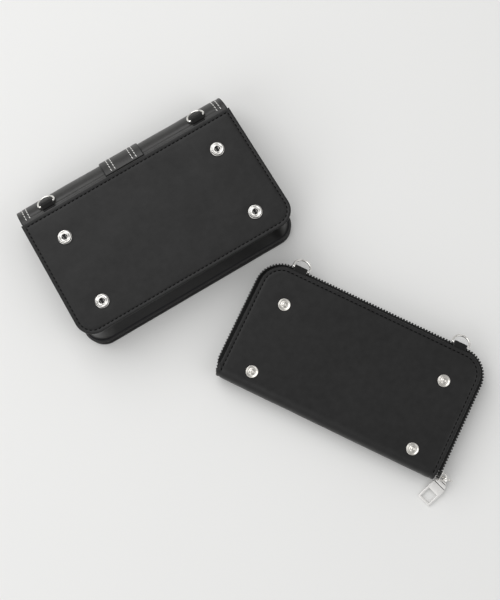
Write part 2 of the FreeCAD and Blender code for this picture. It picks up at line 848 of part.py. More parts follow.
def make_coin_pocket():
    half, low, high, wall = D["coin_half_w"], D["coin_low"], D["coin_high"], D["coin_wall"]
    under, over = MID - D["coin_thick"] / 2, MID + D["coin_thick"] / 2
    outline = [(-half, -low), (half, -low), (half, high), (-half, high)]
    plate("coin_pocket_front", outline, over - wall, over, placement=WALLET)
    plate("coin_pocket_back", outline, under, under + wall, placement=WALLET)
    gusset = new_body("coin_pocket_gusset")
    sketch = sketch_on(gusset, "XY_Plane", under + wall)
    inset, strip = 1.0, 1.2
    corners = [
        (inset - half, high - 1),
        (inset - half, inset - low),
        (half - inset, inset - low),
        (half - inset, high - 1),
        (half - inset - strip, high - 1),
        (half - inset - strip, inset + strip - low),
        (inset + strip - half, inset + strip - low),
        (inset + strip - half, high - 1),
    ]
    draw(sketch, corners)
    pad(gusset, sketch, D["coin_thick"] - wall * 2)
    keep("coin_pocket_gusset", gusset, WALLET)

    run = half - 2
    tapes, teeth = new_body("coin_zip_tapes"), new_body("coin_zip_teeth")
    for sign in (-1, 1):
        face = MID + D["coin_thick"] / 2 * sign - wall * sign
        start = face if sign < 0 else face - 0.5
        sketch = sketch_on(tapes, "XY_Plane", start)
        draw(sketch, [(-run, high - 0.9), (run, high - 0.9), (run, high + 2.4), (-run, high + 2.4)])
        pad(tapes, sketch, 0.5)
        row_start = MID + (0.15 if sign > 0 else -1.15)
        sketch = sketch_on(teeth, "XY_Plane", row_start)
        draw(sketch, [(-run, high + 1.0), (run, high + 1.0), (run, high + 2.6), (-run, high + 2.6)])
        pad(teeth, sketch, 1.0)
    keep("coin_zip_tapes", tapes, WALLET)
    keep("coin_zip_teeth", teeth, WALLET)

    slider = new_body("coin_zip_slider")
    rest_x, length = 72.0, 7.0
    block = sketch_on(slider, "XY_Plane", MID - 2.2)
    base_y = high + 2.9
    far_x, roof_y = rest_x + length, base_y + 1.2
    draw(block, [(rest_x, base_y), (far_x, base_y), (far_x, roof_y), (rest_x, roof_y)])
    pad(slider, block, 4.4)
    post = sketch_on(slider, "XY_Plane", MID - 1.0)
    post_near, post_far = rest_x + 2.2, rest_x + 4.8
    post_foot, post_top = base_y + 1, base_y + 4.2
    draw(post, [(post_near, post_foot), (post_far, post_foot), (post_far, post_top), (post_near, post_top)])
    circle(post, rest_x + 3.5, base_y + 2.9, 0.75)
    pad(slider, post, 2.0)
    keep("coin_zip_slider", slider, WALLET)

    pull = new_body("coin_zip_pull")
    pin_x, pin_y = rest_x + 3.5, base_y + 2.9
    leaf_r, reach = 1.5, 10.5
    for sign in (-1, 1):
        start = MID + 1.2 if sign > 0 else MID - 2.0
        cheek = sketch_on(pull, "XY_Plane", start)
        draw(
            cheek,
            [
                (pin_x - reach, pin_y - leaf_r),
                (pin_x, pin_y - leaf_r),
                (pin_x + leaf_r, pin_y),
                (pin_x, pin_y + leaf_r),
                (pin_x - reach, pin_y + leaf_r),
            ],
            {1: leaf_r, 2: leaf_r},
        )
        pad(pull, cheek, 0.8)
    pin = sketch_on(pull, "XY_Plane", MID - 1.3)
    circle(pin, pin_x, pin_y, 0.5)
    pad(pull, pin, 2.6)
    tip = sketch_on(pull, "XY_Plane", MID - 1.3)
    tip_x, near_x = pin_x - reach, pin_x - 4
    tip_low, tip_high = pin_y - leaf_r, pin_y + leaf_r
    draw(tip, [(tip_x, tip_low), (near_x, tip_low), (near_x, tip_high), (tip_x, tip_high)])
    pad(pull, tip, 2.6)
    keep("coin_zip_pull", pull, WALLET)


def export():
    """Checks every object and every node's shape, then writes the STEP files."""
    doc.recompute()
    for thing in doc.Objects:
        if "Invalid" in thing.State or "Error" in thing.State:
            raise SystemExit("%s failed: %s" % (thing.Name, thing.State))
    os.makedirs("parts", exist_ok=True)
    for old in os.listdir("parts"):
        if old[:-5] not in nodes:
            os.remove(os.path.join("parts", old))
    for node, thing in nodes.items():
        shape = thing.Shape
        if shape.isNull() or not shape.isValid() or not shape.Solids:
            raise SystemExit("%s has no valid shape" % node)
        shape.exportStep("parts/%s.step" % node)
        box = shape.BoundBox
        print("%-24s volume %9.1f  z %6.2f to %6.2f" % (node, shape.Volume, box.ZMin, box.ZMax))


make_flap()
make_magnets()
make_pouch()
make_sockets()
make_pouch_rings()
make_wallet_shells()
make_zip()
bail_x, bail_y = make_slider()
pull_eye = make_pull(bail_x, bail_y)
make_studs()
make_wallet_rings()
make_coin_pocket()
export()
print("ring bar on band", ring_spot_on_band())
print("bail wire", WALLET.multVec(V(bail_x, bail_y, MID.value)))
print("pull eye", WALLET.multVec(pull_eye))
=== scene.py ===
"""A black leather flap pouch and the zip-round wallet that snaps onto its back, on a pale table."""

import bisect
import json
import math

import bmesh
import bpy
from mathutils import Matrix, Vector, noise


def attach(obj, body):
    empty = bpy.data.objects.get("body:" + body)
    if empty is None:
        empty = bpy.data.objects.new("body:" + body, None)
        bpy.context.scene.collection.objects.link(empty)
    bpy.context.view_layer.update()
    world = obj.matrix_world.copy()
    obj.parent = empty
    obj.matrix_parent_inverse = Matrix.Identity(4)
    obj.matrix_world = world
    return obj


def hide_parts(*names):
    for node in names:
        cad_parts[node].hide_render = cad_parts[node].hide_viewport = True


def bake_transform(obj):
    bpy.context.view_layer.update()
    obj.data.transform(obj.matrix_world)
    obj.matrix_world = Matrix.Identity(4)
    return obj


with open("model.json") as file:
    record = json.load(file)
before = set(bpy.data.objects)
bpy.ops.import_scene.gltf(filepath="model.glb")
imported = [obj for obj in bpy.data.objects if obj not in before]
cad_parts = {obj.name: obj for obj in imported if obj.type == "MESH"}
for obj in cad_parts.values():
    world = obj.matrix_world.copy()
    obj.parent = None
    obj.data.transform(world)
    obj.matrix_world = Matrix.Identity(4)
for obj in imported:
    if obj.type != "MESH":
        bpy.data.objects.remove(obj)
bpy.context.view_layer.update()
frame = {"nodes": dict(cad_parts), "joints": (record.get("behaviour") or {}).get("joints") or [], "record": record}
nodes = frame["nodes"]
record = frame["record"]

MM = 0.001
TAU = 2 * math.pi

# --- places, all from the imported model


def mount(name):
    return next(m for m in record["mounts"] if m["name"] == name)


def joint(name):
    return next(j for j in frame["joints"] if j["name"] == name)


def axes_at(origin, x_axis, y_axis, z_axis):
    """Axes from an origin in metres and three unit directions."""
    turn = Matrix((x_axis, y_axis, z_axis)).transposed().to_4x4()
    return Matrix.Translation(origin) @ turn


def wallet_axes():
    """The wallet's own axes: origin under its studs' centre, X along the spine, Y towards the zip."""
    along = Vector(joint("wallet_open")["axis"]).normalized()
    up = Vector((0, 0, 1))
    return axes_at(Vector(mount("wallet_rest")["pos_m"]), along, up.cross(along), up)


POUCH = Matrix.Identity(4)
WALLET = wallet_axes()


def local_box(node, axes):
    """A CAD node's lowest and highest corner in the given axes, in millimetres."""
    back = axes.inverted()
    spots = [back @ v.co / MM for v in nodes[node].data.vertices]
    low = Vector([min(p[i] for p in spots) for i in range(3)])
    high = Vector([max(p[i] for p in spots) for i in range(3)])
    return low, high


# --- materials


def new_material(name, color, roughness, metallic=0.0, specular=0.5):
    """A material, and the Weaver that adds its detail."""
    mat = bpy.data.materials.new(name)
    mat.use_nodes = True
    weaver = Weaver(mat)
    inputs = weaver.shader.inputs
    inputs["Base Color"].default_value = (*color, 1)
    inputs["Roughness"].default_value = roughness
    inputs["Metallic"].default_value = metallic
    inputs["Specular IOR Level"].default_value = specular
    return mat, weaver


class Weaver:
    """Short names for adding and linking a material's texture nodes."""

    def __init__(self, mat):
        self.tree = mat.node_tree
        self.shader = self.tree.nodes["Principled BSDF"]
        self.place = self.tree.nodes.new("ShaderNodeTexCoord").outputs["Object"]

    def node(self, kind, **values):
        made = self.tree.nodes.new(kind)
        for key, value in values.items():
            if hasattr(made, key):
                setattr(made, key, value)
            else:
                made.inputs[key.replace("_", " ")].default_value = value
        return made

    def link(self, source, target):
        self.tree.links.new(source, target)
        return source

    def stretched(self, x, y, z):
        mapping = self.node("ShaderNodeMapping", Scale=(x, y, z))
        self.link(self.place, mapping.inputs["Vector"])
        return mapping.outputs["Vector"]

    def noise(self, scale, detail=3.0, rough=0.5, vector=None):
        made = self.node("ShaderNodeTexNoise", Scale=scale, Detail=detail, Roughness=rough)
        self.link(vector or self.place, made.inputs["Vector"])
        return made.outputs["Fac"]

    def cells(self, scale):
        made = self.node("ShaderNodeTexVoronoi", Scale=scale)
        self.link(self.place, made.inputs["Vector"])
        return made.outputs["Distance"]

    def waves(self, scale, direction, distort):
        made = self.node("ShaderNodeTexWave", bands_direction=direction, Scale=scale, Distortion=distort)
        self.link(self.place, made.inputs["Vector"])
        return made.outputs["Fac"]

    def ramp(self, source, low, high, low_at=0.0, high_at=1.0):
        made = self.node("ShaderNodeMapRange", From_Min=low_at, From_Max=high_at, To_Min=low, To_Max=high)
        self.link(source, made.inputs["Value"])
        return made.outputs["Result"]

    def colors(self, source, first, second):
        made = self.node("ShaderNodeMix", data_type="RGBA")
        made.inputs[6].default_value = (*first, 1)
        made.inputs[7].default_value = (*second, 1)
        self.link(source, made.inputs["Factor"])
        return made.outputs[2]

    def bump(self, source, strength, distance, after=None):
        made = self.node("ShaderNodeBump", Strength=strength, Distance=distance)
        self.link(source, made.inputs["Height"])
        if after is not None:
            self.link(after, made.inputs["Normal"])
        return made.outputs["Normal"]

    def finish(self, color=None, roughness=None, normal=None):
        for source, socket in ((color, "Base Color"), (roughness, "Roughness"), (normal, "Normal")):
            if source is not None:
                self.link(source, self.shader.inputs[socket])


def leather(name, base, rough, specular=0.27):
    """Smooth coated leather: faint pebble, fine pores, slow unevenness, and slightly uneven sheen."""
    mat, w = new_material(name, base, rough, specular=specular)
    slow = w.noise(28, 3, 0.5)
    mottled = w.noise(160, 4, 0.6)
    pores = w.noise(5200, 2, 0.5)
    darker, lighter = [c * 0.86 for c in base], [c * 1.22 + 0.002 for c in base]
    pebbled = w.bump(w.cells(1500), 0.16, 0.00008, w.bump(slow, 0.35, 0.0012))
    w.finish(
        color=w.colors(w.ramp(mottled, 0.0, 1.0, 0.3, 0.7), darker, lighter),
        roughness=w.ramp(slow, rough - 0.05, rough + 0.07, 0.3, 0.7),
        normal=w.bump(pores, 0.10, 0.00006, pebbled),
    )
    return mat


def edge_paint(name, base):
    """Lacquered cut edge: smooth with a soft waviness."""
    mat, w = new_material(name, base, 0.38, specular=0.3)
    w.finish(
        roughness=w.ramp(w.noise(900, 3), 0.3, 0.48, 0.3, 0.7),
        normal=w.bump(w.noise(700, 3), 0.25, 0.0002),
    )
    return mat


def woven(name, base, threads, sheen=0.25):
    """Plain weave: two sets of crossing ribs, with slubs."""
    mat, w = new_material(name, base, 0.85, specular=0.2)
    both = w.node("ShaderNodeMath", operation="MAXIMUM")
    for i, direction in enumerate(("X", "Y")):
        w.link(w.waves(threads, direction, 0.4), both.inputs[i])
    slubs = w.noise(300, 4)
    darker, lighter = [c * 0.75 for c in base], [c * 1.35 for c in base]
    w.finish(
        color=w.colors(w.ramp(slubs, 0, 1, 0.3, 0.7), darker, lighter),
        normal=w.bump(both.outputs[0], 0.5, 0.00012, w.bump(slubs, 0.2, 0.0002)),
    )
    w.shader.inputs["Sheen Weight"].default_value = sheen
    return mat


def plated(name, base, rough, scratch):
    """Plated metal: nearly even mirror with fine wipes and a slight orange peel."""
    mat, w = new_material(name, base, rough, metallic=1.0)
    wipes = w.noise(500, 3, 0.6, w.stretched(1.0, 9.0, 3.0))
    w.finish(
        roughness=w.ramp(wipes, rough * 0.7, rough * 1.6, 0.3, 0.75),
        normal=w.bump(w.noise(900, 2), scratch, 0.00005),
    )
    return mat


def moulded(name, base, rough):
    """Moulded plastic: satin, with faint flow marks."""
    mat, w = new_material(name, base, rough)
    w.finish(
        roughness=w.ramp(w.noise(1200, 3), rough - 0.06, rough + 0.08, 0.3, 0.7),
        normal=w.bump(w.noise(2500, 2), 0.15, 0.00005),
    )
    return mat


def thread(name, base, specular):
    """Waxed twisted thread."""
    mat, w = new_material(name, base, 0.7, specular=specular)
    twist = w.waves(2600, "DIAGONAL", 1.0)
    w.finish(color=w.colors(twist, [c * 0.72 for c in base], base), normal=w.bump(twist, 0.6, 0.0001))
    return mat


def table_top(name, base):
    """Matt pale table, with the faintest mottling."""
    mat, w = new_material(name, base, 0.9, specular=0.1)
    w.finish(color=w.colors(w.noise(6, 2), base, [c * 0.992 for c in base]))
    return mat


LEATHER = leather("leather_black", (0.0085, 0.0084, 0.0084), 0.42)
# A lighter copy of the black leather: the extra lightness is painted light for the curved band, which catches the
# lamps. Also used on the front, flap, strap and seam fold.
BAND_LEATHER_PAINTED_LIGHT = leather("leather_band_painted_light", (0.0150, 0.0145, 0.0138), 0.38, 0.5)
# A darker copy of the black leather: painted shade for the gusset, which lies in shade between and under the
# panels.
GUSSET_LEATHER_PAINTED_SHADE = leather("leather_gusset_painted_shade", (0.0065, 0.0064, 0.0062), 0.34, 0.4)
THIN_LEATHER = leather("leather_thin", (0.0055, 0.0055, 0.0053), 0.5, 0.2)
# Black lacquer for the leather's cut edges; the same black is also painted shade in the puller's groove gaps.
EDGE_PAINT_AND_SHADE = edge_paint("edge_paint", (0.004, 0.004, 0.004))
LINING = woven("lining_weave", (0.014, 0.014, 0.016), 1500)
TAPE = woven("zip_tape_weave", (0.003, 0.003, 0.003), 2400, 0.0)
TEETH = moulded("zip_teeth_satin", (0.006, 0.006, 0.006), 0.42)
NICKEL = plated("nickel_polished", (0.80, 0.785, 0.755), 0.16, 0.08)
SATIN = plated("nickel_satin", (0.60, 0.59, 0.57), 0.3, 0.2)
BRUSHED = plated("nickel_brushed", (0.88, 0.87, 0.85), 0.4, 0.06)
# A darker copy of the nickel for the studs: painted shade, standing in for the dark surroundings that the studs
# reflect.
STUD_NICKEL_PAINTED_DARK = plated("nickel_stud_painted_dark", (0.66, 0.64, 0.60), 0.24, 0.1)
BLACK_THREAD = thread("thread_black", (0.002, 0.002, 0.002), 0.03)
WHITE_THREAD = thread("thread_white", (0.86, 0.85, 0.82), 0.3)

THREADS = {"black_thread": BLACK_THREAD, "white_thread": WHITE_THREAD}
SLOT_MATERIALS = {
    "leather": LEATHER,
    "card_leather": THIN_LEATHER,
    "lining": LINING,
    "zip_tape": TAPE,
    "zip_teeth": TEETH,
    "nickel": NICKEL,
    "magnet": SATIN,
}


def paint_cad():
    """Every CAD node that stays gets its slot's finish."""
    for part in record["subparts"]:
        obj = nodes[part["node"]]
        obj.data.materials.clear()
        obj.data.materials.append(SLOT_MATERIALS[part["material_slot"]])


# --- mesh helpers


def new_object(name, data):
    """An object in the scene that shows the data."""
    obj = bpy.data.objects.new(name, data)
    bpy.context.scene.collection.objects.link(obj)
    return obj


def add_mesh(name, verts, faces, material, axes=POUCH, smooth_angle=40, face_slots=None, extra=()):
    """A new object from points in millimetres, in the given axes, with its faces turned outwards."""
    data = bpy.data.meshes.new(name)
    data.from_pydata([axes @ (Vector(v) * MM) for v in verts], [], faces)
    for mat in (material, *extra):
        data.materials.append(mat)
    if face_slots:
        for polygon, slot in zip(data.polygons, face_slots):
            polygon.material_index = slot
    work = bmesh.new()
    work.from_mesh(data)
    bmesh.ops.remove_doubles(work, verts=work.verts, dist=1e-7)
    bmesh.ops.dissolve_degenerate(work, edges=work.edges, dist=1e-8)
    bmesh.ops.recalc_face_normals(work, faces=work.faces)
    work.to_mesh(data)
    work.free()
    data.shade_smooth()
    data.set_sharp_from_angle(angle=math.radians(smooth_angle))
    return new_object(name, data)


def put(obj, body, slot, *replaced):
    """Declares which body a piece rides on and hides the CAD nodes that it stands for; slot is not used."""
    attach(obj, body)
    if replaced:
        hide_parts(*replaced)
    return obj


def fit(name, parts, material, axes, smooth_angle, body, slot, *replaced):
    """One piece made of several (vertices, faces), put on its body."""
    verts, faces = join_parts(parts)
    put(add_mesh(name, verts, faces, material, axes, smooth_angle), body, slot, *replaced)


def circle(radius, count):
    """Points evenly round a circle."""
    angles = [TAU * k / count for k in range(count)]
    return [(radius * math.cos(angle), radius * math.sin(angle)) for angle in angles]


def ring_faces(rings, sides, capped=False):
    """Quads between neighbouring rings of points, and a face over each end ring where asked."""
    faces = []
    for i in range(rings - 1):
        for k in range(sides):
            a, b = i * sides + k, i * sides + (k + 1) % sides
            faces.append((a, b, b + sides, a + sides))
    if capped:
        faces.append(tuple(range(sides)))
        faces.append(tuple((rings - 1) * sides + k for k in range(sides)))
    return faces


def grid_rim(rows, columns):
    """The places of a grid's outer points, in order round it."""
    last = (rows - 1) * columns
    rim = list(range(columns)) + [i * columns + columns - 1 for i in range(1, rows)]
    rim += [last + k for k in range(columns - 2, -1, -1)]
    return rim + [i * columns for i in range(rows - 2, 0, -1)]


def tube(points, radius, sides=14, closed=True):
    """Vertices and faces of a round wire along a path of 3-D points."""
    count = len(points)
    verts = []
    side = None
    for i, spot in enumerate(points):
        if closed:
            ahead, behind = points[(i + 1) % count], points[i - 1]
        else:
            ahead, behind = points[min(i + 1, count - 1)], points[max(i - 1, 0)]
        tangent = (ahead - behind).normalized()
        if side is None:
            side = tangent.orthogonal().normalized()
        else:
            side = (side - tangent * side.dot(tangent)).normalized()
        other = tangent.cross(side)
        verts += [spot + side * a + other * b for a, b in circle(radius, sides)]
    if not closed:
        return verts, ring_faces(count, sides, capped=True)
    return verts, [tuple(j % len(verts) for j in face) for face in ring_faces(count + 1, sides)]


def join_parts(parts):
    """Several (vertices, faces) as one."""
    verts, faces = [], []
    for some_verts, some_faces in parts:
        start = len(verts)
        verts += some_verts
        faces += [tuple(start + i for i in face) for face in some_faces]
    return verts, faces


def skin(outer, inner):
    """A closed wall between two grids of points with the same numbers of rows and columns."""
    rows, columns = len(outer), len(outer[0])
    verts = [p for grid in (outer, inner) for row in grid for p in row]
    half = rows * columns
    faces = []
    for i in range(rows - 1):
        for k in range(columns - 1):
            a = i * columns + k
            faces.append((a, a + 1, a + columns + 1, a + columns))
            faces.append((half + a, half + a + columns, half + a + columns + 1, half + a + 1))
    rim = grid_rim(rows, columns)
    faces += [(a, half + a, half + b, b) for a, b in zip(rim, rim[1:] + rim[:1])]
    return verts, faces


def lathe(profile, spots, sides=72):
    """The same turned piece at each (x, y): profile is (radius, z) pairs from axis to axis."""
    parts = []
    for x, y in spots:
        verts = [Vector((x + a, y + b, z)) for radius, z in profile for a, b in circle(radius, sides)]
        parts.append((verts, ring_faces(len(profile), sides)))
    return join_parts(parts)


def oblong(left, low, right, high):
    """The corners of a rectangle, anticlockwise."""
    return [(left, low), (right, low), (right, high), (left, high)]


def mirrored(left):
    """A 2-D outline from its left side."""
    return left + [(-x, y) for x, y in reversed(left)]


def rounded(points, radii, steps=5):
    """A 2-D path with its corners rounded, by one radius or one for each; 0 keeps a corner."""
    if not isinstance(radii, list):
        radii = [radii] * len(points)
    out = []
    count = len(points)
    for i, (here, radius) in enumerate(zip(points, radii)):
        here = Vector(here)
        before, after = Vector(points[i - 1]), Vector(points[(i + 1) % count])
        if radius <= 0:
            out.append(here)
            continue
        a, b = (before - here).normalized(), (after - here).normalized()
        half = a.angle(b) / 2
        reach = radius / math.tan(half)
        centre = here + (a + b).normalized() * radius / math.sin(half)
        start, end = here + a * reach - centre, here + b * reach - centre
        turn = start.angle_signed(end)
        for k in range(steps + 1):
            out.append(centre + Matrix.Rotation(-turn * k / steps, 2) @ start)
    return out


def bevelled_plate(outline, low, high, bevel, holes=()):
    """A flat plate in XY from low to high with rounded rims, with through holes."""
    work = bmesh.new()
    edges = []
    for loop in (outline, *holes):
        verts = [work.verts.new((p[0], p[1], low)) for p in loop]
        edges += [work.edges.new(pair) for pair in zip(verts, verts[1:] + verts[:1])]
    bmesh.ops.triangle_fill(work, use_beauty=True, use_dissolve=False, edges=edges)
    made = bmesh.ops.extrude_face_region(work, geom=list(work.faces))
    lifted = [g for g in made["geom"] if isinstance(g, bmesh.types.BMVert)]
    bmesh.ops.translate(work, verts=lifted, vec=(0, 0, high - low))
    bmesh.ops.recalc_face_normals(work, faces=work.faces)
    rims = []
    for edge in work.edges:
        slopes = sorted(abs(face.normal.z) for face in edge.link_faces)
        if len(slopes) == 2 and slopes[0] < 0.1 and slopes[1] > 0.9:
            rims.append(edge)
    bmesh.ops.bevel(work, geom=rims, offset=bevel, segments=3, profile=0.5, affect="EDGES")
    work.verts.index_update()
    verts = [v.co.copy() for v in work.verts]
    faces = [tuple(v.index for v in f.verts) for f in work.faces]
    work.free()
    return verts, faces


# --- leather sheets

SEAM_INSET = 3.0
SEAM_DEPTH, SEAM_WIDTH = 0.28, 0.6
PUFF_REACH = 5
EDGE_ROUND = 0.75
WOBBLE_INSET, WOBBLE_SPAN = 12, 23
DENT_DEPTH, DENT_MARGIN, DENT_SLOPE = 0.45, 1.0, 0.7
EDGE_STEPS = [0.12, 0.35, 0.75, 1.3, 2.0, 2.5, 3.0, 3.5, 4.2, 5.5, 8.0]
WHITE_STITCH = (1.38, 0.36, 0.3)
FINE_STITCH = (1.0, 0.2, 0.16)


class Bend:
    """A path in the YZ plane that a sheet follows: straight runs and arcs, measured by length."""

    def __init__(self, start, heading):
        self.spots = [(Vector(start), heading)]

    def straight(self, length, step=2.0):
        spot, heading = self.spots[-1]
        count = max(1, round(length / step))
        way = Vector((math.cos(heading), math.sin(heading)))
        for k in range(1, count + 1):
            self.spots.append((spot + way * length * k / count, heading))
        return self

    def arc(self, radius, turn, step=0.9):
        """turn is in radians, anticlockwise when positive."""
        spot, heading = self.spots[-1]
        count = max(3, round(abs(turn) * radius / step))
        side = math.copysign(1, turn)
        centre = spot + Vector((-math.sin(heading), math.cos(heading))) * radius * side
        for k in range(1, count + 1):
            now = heading + turn * k / count
            self.spots.append((centre + Vector((math.sin(now), -math.cos(now))) * radius * side, now))
        return self

    def measured(self):
        self.marks = [0.0]
        for (a, _), (b, _) in zip(self.spots, self.spots[1:]):
            self.marks.append(self.marks[-1] + (b - a).length)
        self.length = self.marks[-1]
        return self

    def at(self, u):
        """The point and the unit normal on the right-hand side at length u."""
        u = min(max(u, 0.0), self.length)
        high = min(bisect.bisect_right(self.marks, u), len(self.marks) - 1)
        low = high - 1
        t = (u - self.marks[low]) / (self.marks[high] - self.marks[low])
        spot = self.spots[low][0].lerp(self.spots[high][0], t)
        heading = self.spots[low][1] * (1 - t) + self.spots[high][1] * t
        return spot, Vector((math.sin(heading), -math.cos(heading)))


class Sheet:
    """A leather sheet of half_w by length with rounded corners, laid on a surface by place(x, u, height)."""

    def __init__(self, half_w, length, radii, thick, place, seam=SEAM_INSET, puff=0.22, relief=None,
                 wobble=0.12):
        self.half_w, self.length, self.thick = half_w, length, thick
        self.start_r, self.end_r = radii
        self.place, self.seam, self.puff, self.relief, self.wobble = place, seam, puff, relief, wobble

    def ends(self, u):
        """Each end's corner radius, and how far u lies from that end."""
        return (self.start_r, u), (self.end_r, self.length - u)

    def width_at(self, u):
        for radius, depth in self.ends(u):
            if depth < radius:
                return self.half_w - radius + math.sqrt(max(radius ** 2 - (radius - depth) ** 2, 0))
        return self.half_w

    def inset(self, x, u):
        """How far a point lies inside the outline."""
        x = abs(x)
        near = min(self.half_w - x, u, self.length - u)
        for radius, depth in self.ends(u):
            across, down = x - (self.half_w - radius), radius - depth
            if across > 0 and down > 0:
                near = min(near, radius - math.hypot(across, down))
        return max(near, 0.0)

    def half_thickness(self, x, u):
        """Half the leather's thickness, which rounds off towards the cut edge."""
        short = 1 - min(self.inset(x, u) / EDGE_ROUND, 1.0)
        return self.thick / 2 * math.sqrt(1 - short ** 2)

    def top(self, x, u):
        inset = self.inset(x, u)
        height = self.thick / 2 + self.half_thickness(x, u)
        if self.seam:
            height -= SEAM_DEPTH * math.exp(-(((inset - self.seam) / SEAM_WIDTH) ** 2))
            height += self.puff * (1 - math.exp(-max(inset - self.seam, 0) / PUFF_REACH))
        if self.relief:
            height += self.relief(x, u)
        soft = min(inset / WOBBLE_INSET, 1.0)
        spot = Vector((x / WOBBLE_SPAN, u / WOBBLE_SPAN, self.thick))
        return height + self.wobble * soft * noise.noise(spot)

    def bottom(self, x, u):
        return self.thick / 2 - self.half_thickness(x, u)

    def rows(self, step):
        marks = {0.0, self.length}
        for radius, at_end in ((self.start_r, False), (self.end_r, True)):
            near = [radius * (1 - math.sin(math.radians(a))) for a in range(0, 90, 5)] if radius else []
            near += EDGE_STEPS
            marks |= {self.length - d if at_end else d for d in near if d < self.length / 2}
        count = round(self.length / step)
        marks |= {self.length * k / count for k in range(count)}
        out = []
        for mark in sorted(marks):
            if not out or mark - out[-1] > 0.07:
                out.append(mark)
        return out

    def columns(self, width):
        insets = [e for e in (0, *EDGE_STEPS, 12.0) if e < self.half_w * 0.6]
        inner = width - insets[-1]
        count = max(2, round(2 * (self.half_w - insets[-1]) / 5.0))
        middle = [-inner + 2 * inner * k / count for k in range(1, count)]
        return [e - width for e in insets] + middle + [width - e for e in reversed(insets)]

    def build(self, name, material, axes=POUCH, step=3.0, edge=EDGE_PAINT_AND_SHADE):
        """The sheet as a closed mesh, its cut edges in their own material."""
        rows = self.rows(step)
        columns = [self.columns(self.width_at(u)) for u in rows]
        count = len(columns[0])
        verts = [self.place(x, u, self.top(x, u)) for u, xs in zip(rows, columns) for x in xs]
        half = len(verts)
        verts += [self.place(x, u, self.bottom(x, u)) for u, xs in zip(rows, columns) for x in xs]
        slots, faces = [], []
        for i in range(len(rows) - 1):
            for k in range(count - 1):
                a = i * count + k
                quad = (a, a + 1, a + count + 1, a + count)
                rim = k < 3 or k > count - 5 or min(rows[i], self.length - rows[i + 1]) < 0.3
                faces += [quad, tuple(half + j for j in reversed(quad))]
                slots += [int(rim), int(rim)]
        ring = grid_rim(len(rows), count)
        for a, b in zip(ring, ring[1:] + ring[:1]):
            faces.append((a, half + a, half + b, b))
            slots.append(1)
        return add_mesh(name, verts, faces, material, axes, 60, slots, (edge,))

    def sew(self, name, path, body, axes=POUCH, slot="black_thread", pitch=3.7, size=(1.35, 0.5, 0.3)):
        """A row of stitches along a path of (x, u) points, lying on the sheet's face and above the table."""
        parts = []
        for (x, u), (dx, du) in walk(path, pitch):
            height = self.top(x, u)
            here = self.place(x, u, height - 0.02)
            ahead = self.place(x + dx * 0.2, u + du * 0.2, height - 0.02)
            above = self.place(x, u, height + 0.5)
            parts.append(stitch(Vector(here), Vector(ahead), Vector(above), size))
        verts, faces = join_parts(parts)
        verts = [Vector((v.x, v.y, max(v.z, 0.02))) for v in verts]
        put(add_mesh(name, verts, faces, THREADS[slot], axes, 180), body, slot)


def walk(path, pitch):
    """Evenly spaced points along a polyline, each with the direction there."""
    path = [Vector(p) for p in path]
    total = sum((b - a).length for a, b in zip(path, path[1:]))
    count = max(1, round(total / pitch))
    out = []
    for k in range(count):
        left = total * (k + 0.5) / count
        for a, b in zip(path, path[1:]):
            span = (b - a).length
            if left <= span:
                way = (b - a).normalized()
                out.append((a + way * left, way))
                break
            left -= span
    return out


def stitch(here, ahead, above, size):
    """One stitch: a plump lens of thread whose ends dive into the leather."""
    along = (ahead - here).normalized()
    up = above - here
    up = (up - along * up.dot(along)).normalized()
    side = up.cross(along)
    along, side = (along + side * 0.12).normalized(), (side - along * 0.12).normalized()
    length, width, height = size
    rings, sides = 7, 8
    verts = []
    for i in range(rings):
        angle = math.pi * (i + 0.5) / rings
        reach, girth = -math.cos(angle), math.sin(angle) ** 0.7
        middle = here + along * reach * length - up * 0.12 * reach ** 4
        verts += [middle + side * a * width + up * b * height for a, b in circle(girth, sides)]
    return verts, ring_faces(rings, sides, capped=True)


def inset_path(sheet, inset, start_u, steps=14):
    """A path inside a sheet's outline: up one side, across the end and down the other."""
    width = sheet.half_w - inset
    radius = max(sheet.end_r - inset, 0.5)
    far = sheet.length - inset
    left = [(-width, start_u)]
    for k in range(steps + 1):
        angle = math.pi / 2 * k / steps
        left.append((-width + radius - radius * math.cos(angle), far - radius + radius * math.sin(angle)))
    return mirrored(left)


# --- pouch


def snap_spots(kind, axes):
    """The four snaps' places in the given axes."""
    back = axes.inverted()
    names = ["%s_%s_%s" % (kind, row, side) for row in ("upper", "lower") for side in ("left", "right")]
    spots = [back @ Vector(mount(name)["pos_m"]) / MM for name in names]
    return [(p.x, p.y) for p in spots]


BACK_LOW, BACK_HIGH = local_box("back_panel", POUCH)
FRONT_LOW, FRONT_HIGH = local_box("front_panel", POUCH)
FLAP_LOW, FLAP_HIGH = local_box("flap_panel", POUCH)
STRAP_LOW, STRAP_HIGH = local_box("flap_strap", POUCH)
WALL = BACK_HIGH.z - BACK_LOW.z
CORNER = 15.0
LINING_CORNER = CORNER - 1.5
SOCKETS = snap_spots("socket", POUCH)
SOCKET_R = local_box("snap_sockets", POUCH)[1].x - max(x for x, y in SOCKETS)
SEAM_Y = joint("pouch_open")["pos_m"][1] / MM
BAND_CENTRE_Y = 51.0
BAND_ROWS = (5.0, 8.3)
STRAP_ROWS = (8.0, 11.3)
GUSSET_FOLD = 9.5
GUSSET_FOLD_Y = -37.0


def back_half_widths():
    """The back's half width along its top edge and at its widest."""
    spots = [v.co / MM for v in nodes["back_panel"].data.vertices]
    along_top = max(p.x for p in spots if p.y > BACK_HIGH.y - 0.5)
    return along_top, BACK_HIGH.x


def snap_dents(spots, radius, shift):
    """The leather is pressed in under each snap's rim."""
    def relief(x, u):
        away = [math.hypot(x - sx, shift(u) - sy) for sx, sy in spots]
        return -sum(DENT_DEPTH / (1 + math.exp((far - radius - DENT_MARGIN) / DENT_SLOPE)) for far in away)
    return relief


